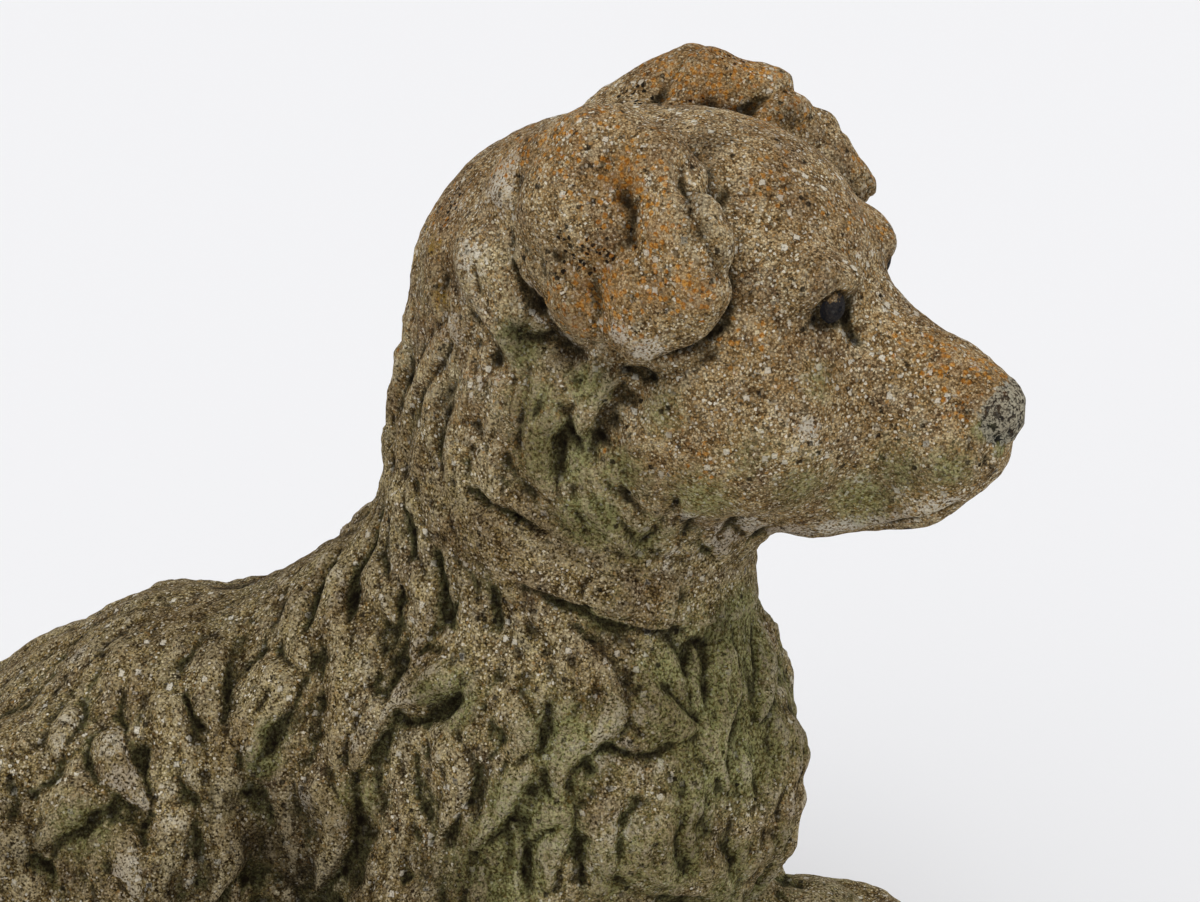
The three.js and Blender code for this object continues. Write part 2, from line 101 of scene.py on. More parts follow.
def limb(a, ra, b, rb, flat=1.0):
    squash = np.array([1, 1 / flat, 1])
    start = np.array(a, float) * squash
    axis = np.array(b, float) * squash - start

    def form(p):
        q = p * squash - start
        t = np.clip(q @ axis / (axis @ axis), 0, 1)
        gap = q - t[:, None] * axis
        return (np.sqrt((gap**2).sum(-1)) - (ra + (rb - ra) * t)) * flat

    return form


def chain(*stops):
    parts = [limb(*stops[i], *stops[i + 1]) for i in range(len(stops) - 1)]

    def form(p):
        return np.min([part(p) for part in parts], axis=0)

    return form


def melted(*pieces):
    def form(p):
        d = np.full(len(p), 1e3)
        for piece, k in pieces:
            d = smooth_min(d, piece(p), k)
        return d

    return form


def mirrored(form):
    def both(p):
        return form(p * [1, 0, 1] + np.abs(p) * [0, 1, 0])

    return both


trunk = melted(
    (limb([68, 0, 92], 65, [-56, 0, 79], 63, 0.9), 20),
    (limb([-56, 0, 79], 63, [-122, 0, 56], 53), 20),
    (limb([52, 0, 30], 42, [-112, 0, 26], 44, 1.3), 24),
    (egg([95, 0, 100], [58, 54, 66]), 26),
    (egg([14, 0, 124], [50, 46, 50]), 24),
)
neck = melted(
    (limb([66, 0, 126], 60, [78, 0, 206], 58, 0.88), 26),
    (limb([78, 0, 206], 58, [76, 0, 256], 52, 0.88), 20),
)
foreleg = mirrored(
    melted(
        (egg([78, 44, 104], [44, 24, 60], -14), 20),
        (egg([50, 55, 50], [42, 26, 42]), 18),
        (limb([48, 58, 30], 27, [124, 47, 18], 19), 16),
        (egg([144, 46, 15], [31, 21, 16]), 9),
    )
)
hindleg = mirrored(
    melted(
        (egg([-102, 48, 60], [60, 30, 52], 14), 20),
        (egg([-64, 60, 46], [32, 22, 36]), 16),
        (limb([-146, 68, 16], 17, [-64, 77, 13], 13), 12),
        (egg([-46, 77, 12], [24, 15, 14]), 8),
    )
)
tail = melted(
    (limb([-160, 0, 40], 18, [-176, 32, 17], 15), 12),
    (limb([-176, 32, 16], 14, [-160, 74, 13], 12), 10),
    (limb([-160, 74, 13], 12, [-122, 94, 9], 7), 10),
)
body = melted((trunk, 20), (foreleg, 18), (hindleg, 18), (tail, 12), (neck, 26))

skull = melted(
    (egg([117, 0, 271], [64, 50, 57]), 14),
    (egg([80, 0, 264], [52, 50, 54]), 18),
    (mirrored(egg([136, 32, 240], [40, 23, 36])), 18),
    (limb([166, 0, 235], 37, [199, 0, 232.5], 24.5, 0.86), 18),
    (limb([178, 0, 257], 16, [215, 0, 241], 12), 12),
    (egg([205, 0, 229], [17, 18.5, 16]), 8),
    (limb([140, 0, 209], 21, [194.5, 0, 210.5], 12.8), 14),
    (egg([163, -24, 285], [14, 13, 10]), 8),
    (egg([160.5, 23, 284.5], [12.5, 13, 10]), 8),
)
cheek_crease = mirrored(
    chain(([120, 54, 254], 4), ([107, 55, 232], 6), ([104, 55, 206], 6), ([106, 52, 186], 5))
)
near_hollow = chain(([181, -22, 279], 3.6), ([183, -24, 269], 3.8), ([189, -24, 261], 2.5))
far_hollow = chain(([180, 22, 279], 2.2), ([182, 24, 269], 2.2), ([189, 24, 261], 1.8))
eye_hollows = melted((near_hollow, 1), (far_hollow, 1))
lock_behind_ear = mirrored(chain(([72, 36, 302], 11), ([66, 43, 286], 12), ([78, 49, 268], 9)))
ear_fold_tops = mirrored(chain(([82, 34, 309], 17), ([104, 42, 323], 16.5), ([126, 44, 320], 12)))
left_edge = chain(([126, 46, 319], 11), ([144, 54, 303], 8), ([154, 59, 291], 6.5))
right_edge = chain(([124, -46, 320], 11), ([133, -53, 304], 8.5), ([141, -57, 288], 9.5))
ear_roots = melted((ear_fold_tops, 12), (left_edge, 8), (right_edge, 8))
ear_flaps = mirrored(
    melted(
        (egg([101, 53, 298], [22, 12, 31], 8, 3), 8),
        (egg([135, 56, 293], [17, 11, 26], -10, 2), 7),
        (egg([122, 59, 281], [12, 10, 18]), 5),
    )
)
ear_folds = mirrored(chain(([116, 64, 316], 3), ([119, 71, 296], 3.6), ([111, 72, 270], 3.4)))
nose = egg([220, 0, 241], [9.5, 12, 9.5], -20)
lip_hollow = chain(([230.5, -8, 228], 5), ([230.5, 8, 228], 5))
nostrils = mirrored(chain(([227.5, 8, 236], 1.6), ([223, 13, 232], 2.6), ([221.5, 12, 226], 1.8)))
lip_split = chain(([231, 0, 232], 1.6), ([228, 0, 222], 1.6), ([223, 0, 214], 1.4))
eye_sockets = mirrored(egg([175.4, 28.8, 276.6], [5.2, 4.4, 6.4]))
near_eye = egg([174.4, -27.4, 277], [3.6, 5.2, 5.2])
far_eye = egg([172.6, 26, 277], [3.6, 4.8, 5.2])
eyes = melted((near_eye, 1), (far_eye, 1))
near_brow = chain(([161, -29, 287], 3.5), ([171, -27, 286.5], 3.2), ([180, -20, 285], 2))
far_brow = chain(([159, 28, 286.5], 3.5), ([168, 26, 286.5], 2.8), ([177, 19, 285], 2))
brows = melted((near_brow, 1), (far_brow, 1))


def head_frame(p):
    """Points in the head's own frame, where it looks along +X."""
    x = p[:, 0] - NECK_X
    y = p[:, 1]
    c = math.cos(HEAD_TURN)
    s = math.sin(HEAD_TURN)
    return np.stack([NECK_X + x * c - y * s, x * s + y * c, p[:, 2]], axis=1)


def from_head_frame(q):
    x = q[:, 0] - NECK_X
    y = q[:, 1]
    c = math.cos(HEAD_TURN)
    s = math.sin(HEAD_TURN)
    return np.stack([NECK_X + x * c + y * s, -x * s + y * c, q[:, 2]], axis=1)


def head(p):
    q = head_frame(p)
    d = skull(q)
    d = smooth_max(d, -cheek_crease(q), 6)
    d = smooth_max(d, -eye_hollows(q), 4)
    d = smooth_min(d, lock_behind_ear(q), 4)
    d = smooth_min(d, ear_roots(q), 10)
    d = smooth_min(d, ear_flaps(q), 3)
    d = smooth_max(d, -ear_folds(q), 3)
    d = smooth_min(d, nose(q), 2)
    d = smooth_max(d, -lip_hollow(q), 4)
    d = smooth_max(d, -nostrils(q), 1.5)
    d = smooth_max(d, -lip_split(q), 1.5)
    d = smooth_min(d, brows(q), 8)
    d = smooth_max(d, -eye_sockets(q), 3)
    return smooth_min(d, eyes(q), 0.8)


def dog(p):
    return smooth_min(body(p), head(p), 20)


# The collar: a strap round the neck, lower at the throat, with its end lying over it on the near side
COLLAR_CENTRE = np.array([80.0, 0, 184])
COLLAR_TILT = math.radians(18)
COLLAR_HALF = 8.5
collar_up = np.array([math.sin(COLLAR_TILT), 0, math.cos(COLLAR_TILT)])
collar_ahead = np.array([math.cos(COLLAR_TILT), 0, -math.sin(COLLAR_TILT)])


def collar(p, skin):
    q = p - COLLAR_CENTRE
    up = q @ collar_up
    ahead = q @ collar_ahead
    angle = np.degrees(np.arctan2(q[:, 1], ahead))
    out = np.sqrt(ahead**2 + q[:, 1] ** 2)
    proud = 0.3 + 1.2 * np.clip((125 - np.abs(angle)) / 60, 0, 1)
    proud = proud - 0.9 * np.clip(angle / 10 + 5, 0, 1) * np.clip(4 - angle / 10, 0, 1)
    strap = smooth_max(skin - proud, np.abs(up) - COLLAR_HALF, 2.5)
    end = np.clip((angle + 80) * out * 0.0175 / COLLAR_HALF, 0, 1)
    half = COLLAR_HALF * np.sqrt(np.maximum(1 - (1 - end) ** 2, 1e-4))
    lap = smooth_max(skin - proud - 1.6, np.abs(up) - half, 2.5)
    lap = np.maximum(lap, (np.abs(angle + 64) - 16) * out * 0.0175)
    d = smooth_min(strap, lap, 1)
    return np.where(out < 95, d, 1e3)


SLAB_LOW = np.array([-207.0, -107.9, -26.0])
SLAB_HIGH = np.array([188.8, 114.8, 0.0])
SLAB_CORNER = 34.0
SLAB_EDGE = 4.0


def slab(p):
    centre = (SLAB_LOW + SLAB_HIGH) / 2
    half = (SLAB_HIGH - SLAB_LOW) / 2
    q = np.abs(p - centre)
    flat = q[:, :2] - half[:2] + SLAB_CORNER
    plan = np.linalg.norm(np.maximum(flat, 0), axis=1) + np.minimum(flat.max(axis=1), 0) - SLAB_CORNER
    w = np.stack([plan + SLAB_EDGE, q[:, 2] - half[2] + SLAB_EDGE], axis=1)
    return np.linalg.norm(np.maximum(w, 0), axis=1) + np.minimum(w.max(axis=1), 0) - SLAB_EDGE


def statue(p):
    skin = dog(p)
    return smooth_min(np.minimum(skin, collar(p, skin)), slab(p), 3)


def slope(form, p, step=0.5):
    made = np.zeros_like(p)
    for axis in range(3):
        nudge = np.zeros(3)
        nudge[axis] = step
        made[:, axis] = form(p + nudge) - form(p - nudge)
    return made / (np.linalg.norm(made, axis=1)[:, None] + 1e-9)


def settle(p, form=dog, rounds=2):
    for _ in range(rounds):
        p = p - slope(form, p) * form(p)[:, None]
    return p


# Meshes
def worked(mesh, kind, **settings):
    """The mesh after one of Blender's modifiers."""
    holder = bpy.data.objects.new("work", mesh)
    scene.collection.objects.link(holder)
    modifier = holder.modifiers.new("step", kind)
    for name, value in settings.items():
        setattr(modifier, name, value)
    graph = bpy.context.evaluated_depsgraph_get()
    made = bpy.data.meshes.new_from_object(holder.evaluated_get(graph))
    bpy.data.objects.remove(holder)
    bpy.data.meshes.remove(mesh)
    return made


def points_of(mesh):
    made = np.empty(len(mesh.vertices) * 3)
    mesh.vertices.foreach_get("co", made)
    return made.reshape(-1, 3) * 1000 + SHIFT


def normals_of(mesh):
    made = np.empty(len(mesh.vertices) * 3)
    mesh.vertices.foreach_get("normal", made)
    return made.reshape(-1, 3)


def move_to(mesh, p):
    mesh.vertices.foreach_set("co", ((p - SHIFT) / 1000).ravel())
    mesh.update()


def smoothed(mesh, values, rounds):
    """Values averaged with their neighbours' along the edges, a number of times."""
    edges = np.empty(len(mesh.edges) * 2, int)
    mesh.edges.foreach_get("vertices", edges)
    a, b = edges.reshape(-1, 2).T
    count = np.bincount(edges, minlength=len(values))
    made = np.array(values, float).reshape(len(values), -1)
    for _ in range(rounds):
        total = np.empty_like(made)
        for i in range(made.shape[1]):
            total[:, i] = np.bincount(a, made[b, i], len(made)) + np.bincount(b, made[a, i], len(made))
        made = 0.4 * made + 0.6 * total / np.maximum(count, 1)[:, None]
    return made.reshape(np.shape(values))


def speckle(p, cell, seed):
    """Soft random values from -1 to 1, cell millimetres apart."""
    g = p / cell + seed * 7.3
    low = np.floor(g).astype(np.int64)
    f = g - low
    f = f * f * (3 - 2 * f)
    total = np.zeros(len(p))
    for corner in range(8):
        step = np.array([corner & 1, corner >> 1 & 1, corner >> 2 & 1])
        n = (low + step) @ np.array([73856093, 19349663, 83492791]) + seed * 2654435761
        n = (n ^ (n >> 13)) * 1274126177 & 0xFFFFFFFF
        n = (n ^ (n >> 16)) & 0xFFFF
        total += (n / 32767.5 - 1) * np.prod(np.where(step, f, 1 - f), axis=1)
    return total


# The solid's copy is drawn onto the smooth form.
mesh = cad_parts["terrier"].data.copy()
work = bmesh.new()
work.from_mesh(mesh)
bmesh.ops.remove_doubles(work, verts=work.verts, dist=1e-5)
work.to_mesh(mesh)
work.free()
mesh = worked(mesh, "REMESH", mode="VOXEL", voxel_size=0.0024)
for _ in range(4):
    p = points_of(mesh)
    d = np.clip(statue(p), -6, 6)
    move_to(mesh, p - normals_of(mesh) * d[:, None])
mesh = worked(mesh, "REMESH", mode="VOXEL", voxel_size=0.0013)
for _ in range(2):
    p = points_of(mesh)
    d = np.clip(statue(p), -1.5, 1.5)
    move_to(mesh, p - normals_of(mesh) * d[:, None])

# Carved lines on the near side are laid out as they are seen from the camera.
tree = BVHTree.FromPolygons([v.co for v in mesh.vertices], [f.vertices for f in mesh.polygons])
camera_right = Vector((0, 0, 1)).cross(camera_back).normalized()
camera_up = camera_back.cross(camera_right)


def seen(points):
    """Points on the stone under places in the camera's frame, across and down from its corner."""
    found = []
    for across, down in points:
        right = (across - FRAME_WIDTH / 2) / FRAME_WIDTH * SENSOR_WIDTH / CAMERA_LENS
        up = (FRAME_HEIGHT / 2 - down) / FRAME_WIDTH * SENSOR_WIDTH / CAMERA_LENS
        ray = right * camera_right + up * camera_up - camera_back
        hit = tree.ray_cast(camera_place, ray.normalized())[0]
        if hit is not None:
            found.append(np.array(hit) * 1000 + SHIFT)
    return np.array(found).reshape(-1, 3)


def curved(points, step=2.5):
    """A smooth line through a few points."""
    p = np.array(points, float)
    if len(p) < 3:
        return p
    p = np.vstack([2 * p[0] - p[1], p, 2 * p[-1] - p[-2]])
    made = []
    for i in range(1, len(p) - 2):
        count = max(2, int(np.linalg.norm(p[i + 1] - p[i]) / step))
        for t in np.arange(count) / count:
            made.append(
                0.5
                * (
                    2 * p[i]
                    + (p[i + 1] - p[i - 1]) * t
                    + (2 * p[i - 1] - 5 * p[i] + 4 * p[i + 1] - p[i + 2]) * t**2
                    + (3 * p[i] - p[i - 1] - 3 * p[i + 1] + p[i + 2]) * t**3
                )
            )
    made.append(p[-2])
    return np.array(made)


def beside(p, normals, line):
    """For points near a line: how far beside it they lie, the share of its length, and how far past
    its ends and under the skin."""
    a = line[:-1]
    ab = line[1:] - a
    rel = p[:, None, :] - a[None]
    t = np.clip((rel * ab).sum(-1) / (ab * ab).sum(-1), 0, 1)
    gap = rel - t[..., None] * ab
    k = (gap**2).sum(-1).argmin(1)
    rows = np.arange(len(p))
    gap = gap[rows, k]
    side = np.cross(normals, ab[k])
    side /= np.linalg.norm(side, axis=1)[:, None] + 1e-9
    beyond = (gap * ab[k]).sum(-1) / np.linalg.norm(ab[k], axis=1)
    across = (gap * side).sum(-1)
    deep = (gap * normals).sum(-1)
    return across, (k + t[rows, k]) / len(ab), beyond, deep


skin_points = points_of(mesh)
skin_normals = normals_of(mesh)
raised = np.zeros(len(skin_points))
carved = np.zeros(len(skin_points))
wobble = speckle(skin_points, 9, 5)
by_x = np.argsort(skin_points[:, 0])
sorted_x = skin_points[by_x, 0]


def near(line, reach):
    """The skin's points in a box round a line."""
    low = line.min(axis=0) - reach
    high = line.max(axis=0) + reach
    rows = by_x[np.searchsorted(sorted_x, low[0]) : np.searchsorted(sorted_x, high[0])]
    p = skin_points[rows]
    inside = (p[:, 1] > low[1]) & (p[:, 1] < high[1]) & (p[:, 2] > low[2]) & (p[:, 2] < high[2])
    return rows[inside]


def lay_lock(line, width, height, strands=3, tip=0.15):
    """A lock of coat: a long dome, crisp along one edge, grooved into strands that run to its tip."""
    if len(line) < 2:
        return
    rows = near(line, width)
    if len(rows) == 0:
        return
    across, t, beyond, deep = beside(skin_points[rows], skin_normals[rows], line)
    half = width / 2 * (tip + (1 - tip) * np.sin(np.pi * np.clip(0.22 + 0.78 * t, 0, 1)) ** 0.8)
    half = half * (1 + 0.25 * wobble[rows])
    u = np.sqrt(across**2 + beyond**2) / half
    inside = (u < 1) & (np.abs(deep) < 9)
    rise = height * np.clip(t * 6 + 0.25, 0, 1) * (1 - 0.35 * t)
    lean = 1 + 0.4 * np.clip(across / half, -1, 1)
    groove = 0.5 + 0.5 * np.cos(np.pi * (strands - 1 + (across / half + 0.3 * wobble[rows]) * strands))
    dome = np.maximum(1 - u * u, 0) ** 0.7 * lean * (1 - 0.22 * (1 - groove) * (strands > 1))
    edge = np.exp(-(((u - 1.1) / 0.16) ** 2)) * (np.abs(deep) < 9) * np.clip(0.35 + wobble[rows], 0, 1)
    grown = np.maximum(raised[rows], 0.5 * raised[rows] + rise * dome)
    raised[rows] = np.where(inside, grown, raised[rows])
    carved[rows] -= 0.14 * height * edge * np.where(u > 1, 1, 0.3)


def cut_line(line, width, depth):
    """A crease, or a ridge where depth is less than nothing."""
    if len(line) < 2:
        return
    rows = near(line, width * 2.5)
    if len(rows) == 0:
        return
    across, t, beyond, deep = beside(skin_points[rows], skin_normals[rows], line)
    fade = np.clip(t / 0.15, 0, 1) * np.clip((1 - t) / 0.2, 0, 1)
    away = np.sqrt(across**2 + beyond**2) / (width / 2)
    carved[rows] -= depth * np.maximum(fade, 0.1) * np.exp(-(away**2)) * (np.abs(deep) < 9)


# Coat locks seen from the near side: width and height in millimetres, then the line down the lock
SEEN_LOCKS = [
    (15, 2.6, [(508, 166), (492, 205), (494, 262), (522, 318)]),
    (11, 2.2, [(470, 188), (460, 240), (470, 300), (492, 330)]),
    (9, 1.8, [(443, 200), (430, 260), (432, 320)]),
    (14, 4.0, [(455, 668), (424, 680), (388, 704)]),
    (17, 3.2, [(668, 810), (645, 845), (660, 880), (700, 893)]),
    (17, 3.6, [(288, 664), (262, 690), (247, 720), (250, 760)]),
    (12, 3.0, [(383, 696), (362, 728), (352, 770)]),
    (16, 3.2, [(97, 788), (62, 806), (36, 846)]),
    (9, 2.6, [(74, 706), (60, 730), (54, 757)]),
    (11, 3.2, [(106, 728), (112, 762), (146, 808)]),
    (9, 2.2, [(186, 812), (166, 828), (160, 850)]),
    (11, 3.0, [(118, 832), (124, 862), (138, 896)]),
    (11, 2.4, [(474, 424), (452, 446), (444, 480)]),
    (8, 1.8, [(444, 332), (420, 372), (402, 410), (398, 446)]),
    (8, 1.6, [(436, 376), (424, 420), (430, 460)]),
    (12, 2.6, [(560, 405), (536, 430), (548, 462)]),
    (10, 2.4, [(344, 560), (330, 600), (338, 650), (330, 700)]),
    (11, 2.6, [(300, 590), (290, 630), (304, 668)]),
    (12, 3.0, [(440, 740), (452, 780), (440, 830)]),
    (12, 2.8, [(500, 700), (520, 740), (500, 800), (470, 850)]),
    (12, 2.8, [(610, 690), (604, 720), (560, 760), (556, 800)]),
    (12, 2.6, [(640, 690), (664, 720), (700, 730)]),
    (12, 2.6, [(560, 800), (546, 840), (550, 890)]),
    (12, 2.6, [(612, 790), (600, 830), (610, 880)]),
    (13, 2.8, [(720, 640), (728, 690), (716, 740), (730, 790)]),
    (12, 2.6, [(760, 620), (770, 670), (762, 720)]),
    (12, 2.6, [(216, 640), (204, 680), (216, 730)]),
    (12, 2.6, [(160, 690), (170, 740), (196, 790)]),
    (12, 2.6, [(310, 780), (330, 830), (316, 890)]),
    (12, 2.6, [(210, 820), (226, 860), (214, 900)]),
    (11, 2.4, [(380, 500), (368, 560), (392, 620)]),
    (11, 2.4, [(404, 560), (420, 610), (410, 660)]),
]

# Creases seen from the near side, and ridges where the depth is less than nothing: width and depth, then
# the line. Those of the head are on both its sides.
HEAD_CREASES = [
    (5, 0.8, [(607, 175), (630, 230), (632, 300), (618, 342)]),
    (7, 3.2, [(688, 132), (685, 175), (690, 215), (714, 258), (738, 288)]),
    (5, 1.6, [(615, 95), (604, 140), (612, 175)]),
    (6, 2.6, [(495, 322), (520, 336), (560, 346), (600, 362)]),
    (5, 1.8, [(600, 362), (650, 376), (700, 364), (730, 342)]),
    (9, -2.2, [(510, 180), (515, 225), (520, 270)]),
    (7, -0.5, [(950, 354), (966, 363), (984, 374)]),
    (4.5, 1.5, [(980, 418), (991, 436), (1007, 445)]),
    (4, 0.6, [(625, 393), (600, 428), (593, 457), (570, 473)]),
    (9, -1.8, [(618, 396), (610, 412), (604, 440)]),
    (4, 1.8, [(570, 480), (580, 520), (592, 545)]),
    (4, 1.6, [(680, 497), (657, 530), (637, 550)]),
    (3, 1.6, [(477, 417), (490, 455)]),
    (4, 1.6, [(852, 300), (848, 318), (853, 334), (864, 350)]),
    (3, 1.4, [(838, 535), (880, 528), (920, 519), (950, 507), (972, 491)]),
    (4, -0.9, [(850, 527), (885, 520), (925, 510), (955, 496)]),
    (3.5, 1.0, [(735, 500), (700, 520), (680, 552)]),
    (3.5, 1.0, [(760, 512), (725, 535), (704, 570)]),
    (3.5, 0.9, [(790, 520), (757, 540), (735, 570)]),
    (4, 1.0, [(700, 235), (722, 205), (730, 170)]),
]
BODY_CREASES = [
    (3.6, 2.3, [(445, 477), (497, 512), (543, 540), (587, 560), (627, 577), (680, 587)]),
    (3.5, 2.2, [(490, 508), (515, 522), (543, 540), (560, 549)]),
    (3.6, 2.1, [(513, 583), (567, 607), (597, 617), (663, 627), (700, 632)]),
    (4, 2.2, [(430, 547), (440, 600), (453, 632)]),
    (4, 2.0, [(490, 587), (497, 635)]),
    (5, 3.2, [(386, 716), (420, 722), (468, 695)]),
    (4, 2.4, [(413, 747), (417, 800), (430, 825)]),
    (4, 2.6, [(543, 693), (548, 727), (533, 753), (507, 767), (493, 790)]),
    (4, 2.4, [(593, 747), (620, 754), (650, 760), (682, 747)]),
    (4, 2.0, [(580, 753), (593, 782)]),
    (4, 2.4, [(587, 833), (580, 860), (588, 895)]),
    (4, 2.6, [(567, 823), (537, 840), (527, 867), (528, 900)]),
    (4, 1.8, [(697, 633), (690, 682)]),
    (4, 1.8, [(33, 853), (54, 882)]),
    (12, 3.0, [(247, 775), (263, 840), (266, 902)]),
]

seen_lines = []
for width, height, places in SEEN_LOCKS:
    seen_lines.append(curved(seen(places)))
for width, depth, places in BODY_CREASES:
    seen_lines.append(curved(seen(places)))
seen_points = np.vstack([line[:-1] for line in seen_lines if len(line) > 1])
seen_ways = np.vstack([np.diff(line, axis=0) for line in seen_lines if len(line) > 1])
seen_ways /= np.linalg.norm(seen_ways, axis=1)[:, None] + 1e-9
seen_ways *= np.where(seen_ways[:, 2] > 0, -1, 1)[:, None]


def coat_way(p, sway):
    """The way the coat lies: down the neck and chest, back along the trunk, forwards on the feet."""
    back = np.clip((40 - p[:, 0]) / 100, 0, 1)
    low = np.clip((34 - p[:, 2]) / 20, 0, 1) * np.clip((np.abs(p[:, 1]) - 30) / 12, 0, 1)
    ahead = -0.1 - 0.45 * back + sway + 1.6 * low
    way = np.stack([ahead, 0.1 * np.sign(p[:, 1]), -1 + 0.6 * low], axis=1)
    away = (p**2).sum(1)[:, None] + (seen_points**2).sum(1)[None] - 2 * p @ seen_points.T
    weight = np.exp(-away / 256)
    way += 2.0 * (weight @ seen_ways) / (1 + weight.sum(1))[:, None] * (p[:, 1] < 0)[:, None]
    return way / np.linalg.norm(way, axis=1)[:, None]


def smoothness(p):
    """1 where the stone is bare of locks: the face, the ears, the collar, the paws' ends and the slab."""
    q = head_frame(p)
    jaw = np.clip((q[:, 2] - 196 + 0.6 * np.clip(q[:, 0] - 140, 0, 30)) / 10, 0, 1)
    face = np.clip((q[:, 0] - 96 - 0.25 * (300 - q[:, 2])) / 14, 0, 1) * jaw
    crown = np.clip((q[:, 2] - 292 + 0.35 * (92 - q[:, 0])) / 12, 0, 1)
    rel = p - COLLAR_CENTRE
    strap = np.clip(1.6 - np.abs(rel @ collar_up) / COLLAR_HALF, 0, 1)
    angle = np.degrees(np.abs(np.arctan2(rel[:, 1], rel @ collar_ahead)))
    strap = strap * (np.linalg.norm(rel, axis=1) < 100) * np.clip((128 - angle) / 35, 0, 1)
    paws = np.clip((p[:, 0] - 146) / 12, 0, 1) * (p[:, 2] < 60)
    ground = np.clip(4 - p[:, 2], 0, 1)
    return np.clip(face + crown + 1.5 * strap + paws + ground, 0, 1)


def grow(count, width, length, height, spacing, strands, clear=0.0):
    """Locks spread over the coat, laid from back to front in rows that follow the way it lies."""
    rows = chance.permutation(len(skin_points))[: count * 30]
    bare = smoothness(skin_points[rows])
    rows = rows[bare < 0.4]
    roots = []
    for point in skin_points[rows]:
        if roots and np.min(np.sum((np.array(roots) - point) ** 2, axis=1)) < spacing**2:
            continue
        roots.append(point)
        if len(roots) >= count:
            break
    p = np.array(roots)
    if clear:
        far = np.linalg.norm(p[:, None] - seen_points[None], axis=2).min(axis=1) > clear
        p = p[far | (p[:, 1] > 0)]
    order = np.argsort(p[:, 2] + 0.2 * p[:, 0])
    p = p[order]
    n = len(p)
    scale = chance.uniform(0.75, 1.25, n)
    bend = chance.uniform(0.35, 0.95, n) * chance.choice([-1, 1], n)
    phase = chance.uniform(0.1, 0.5, n)
    lines = [p]
    steps = 6
    for i in range(steps):
        sway = bend * np.sin(np.pi * (phase + 1.5 * i / steps))
        way = coat_way(p, sway)
        up = slope(dog, p)
        way = way - up * (way * up).sum(-1)[:, None]
        way /= np.linalg.norm(way, axis=1)[:, None] + 1e-9
        p = p + way * (length * scale / steps)[:, None]
        p = p - slope(dog, p) * dog(p)[:, None]
        lines.append(p)
    lines = np.array(lines).transpose(1, 0, 2)
    for line, k in zip(lines, scale):
        fits = 1 - smoothness(line[len(line) // 2 :]).max() * 0.8
        along_back = np.clip(slope(dog, line[2:3])[0, 2] * 2 - 1, 0, 1) * (line[2, 0] < 60)
        lay_lock(curved(line, 3.5), width * k, height * k * fits * (1 - 0.9 * along_back), strands)


grow(260, 23, 54, 5.4, 17, 3, clear=13)
grow(260, 13, 40, 3.0, 13, 3, clear=9)
for width, height, places in SEEN_LOCKS:
    lay_lock(curved(seen(places)), width * 1.15, height * 1.5, 3)
for width, depth, places in BODY_CREASES:
    cut_line(curved(seen(places)), width, depth)
for width, depth, places in HEAD_CREASES:
    line = curved(seen(places))
    cut_line(line, width, depth)
    cut_line(settle(from_head_frame(head_frame(line) * [1, -1, 1])), width, depth)

bare = smoothness(skin_points)
coat_rows = np.nonzero(bare < 0.95)[0]
coat_ways = np.zeros_like(skin_points)
for rows in np.array_split(coat_rows, 40):
    coat_ways[rows] = coat_way(skin_points[rows], 1.2 * speckle(skin_points[rows], 30, 6))
coat_ways -= skin_normals * (coat_ways * skin_normals).sum(axis=1)[:, None]


def combed(cell, reach, seed, steps=5):
    """Soft random values drawn out along the way the coat lies, about -1 to 1."""
    total = np.zeros(len(skin_points))
    for i in range(-steps, steps + 1):
        place = skin_points[coat_rows] + coat_ways[coat_rows] * (reach * i / steps)
        total[coat_rows] += speckle(place, cell, seed)
    return total / total[coat_rows].std() / 1.6


# Strands carved all over the coat, fainter on the flat of the back
wide_strands = combed(6.5, 13, 7)
thin_strands = combed(2.7, 7, 8)
flat_back = np.clip(skin_normals[:, 2] * 2 - 1, 0, 1) * (skin_points[:, 0] < 60)
chest = np.clip((skin_points[:, 0] - 70) / 30, 0, 1) * np.clip((170 - skin_points[:, 2]) / 20, 0, 1)
chest *= 1 - bare
strands = 1.0 * np.tanh(1.4 * wide_strands) - 0.9 * np.exp(-((wide_strands / 0.2) ** 2))
strands *= 1 - 0.65 * np.clip(raised / 2.5, 0, 1)
strands = strands + 0.5 * np.tanh(1.6 * thin_strands)
strands *= (1 - bare) * (1 - 0.6 * flat_back) * (1 - 0.35 * chest)

# The nose's pad stands out of the muzzle in front of a fine groove.
at_head = head_frame(skin_points)
before_pad = at_head[:, 0] + 0.15 * (at_head[:, 2] - 241) - 216
pad_height = np.clip((at_head[:, 2] - 229) / 3, 0, 1)
carved += 0.5 * pad_height * np.clip(before_pad / 2, 0, 1)
pad_side = np.clip(np.abs(at_head[:, 1]) / 8, 0, 1) * np.clip((248 - at_head[:, 2]) / 4, 0, 1)
carved -= 1.2 * pad_height * np.exp(-((before_pad / 1.6) ** 2)) * pad_side

on_slab = np.clip(1.5 - skin_points[:, 2] / 3, 0, 1)
roughness = 0.8 * speckle(skin_points, 8, 1) + 0.5 * speckle(skin_points, 3.4, 2)
roughness = roughness + 0.6 * speckle(skin_points, 2.1, 4)
lumps = 1.2 * speckle(skin_points, 22, 3) * bare
roughness = roughness + 1.6 * chest * speckle(skin_points, 6, 9)
raised *= np.clip(1 - 0.85 * bare, 0, 1)
lift = raised - 1.6 * (1 - bare) + strands + carved + 0.5 * roughness + lumps * (1 - on_slab)
under = skin_points[:, 2] < -24.5
lift = np.where(under, 0, smoothed(mesh, lift, 1))
p = skin_points + skin_normals * lift[:, None]
p = np.clip(p, STONE_LOW, STONE_HIGH)
move_to(mesh, p)


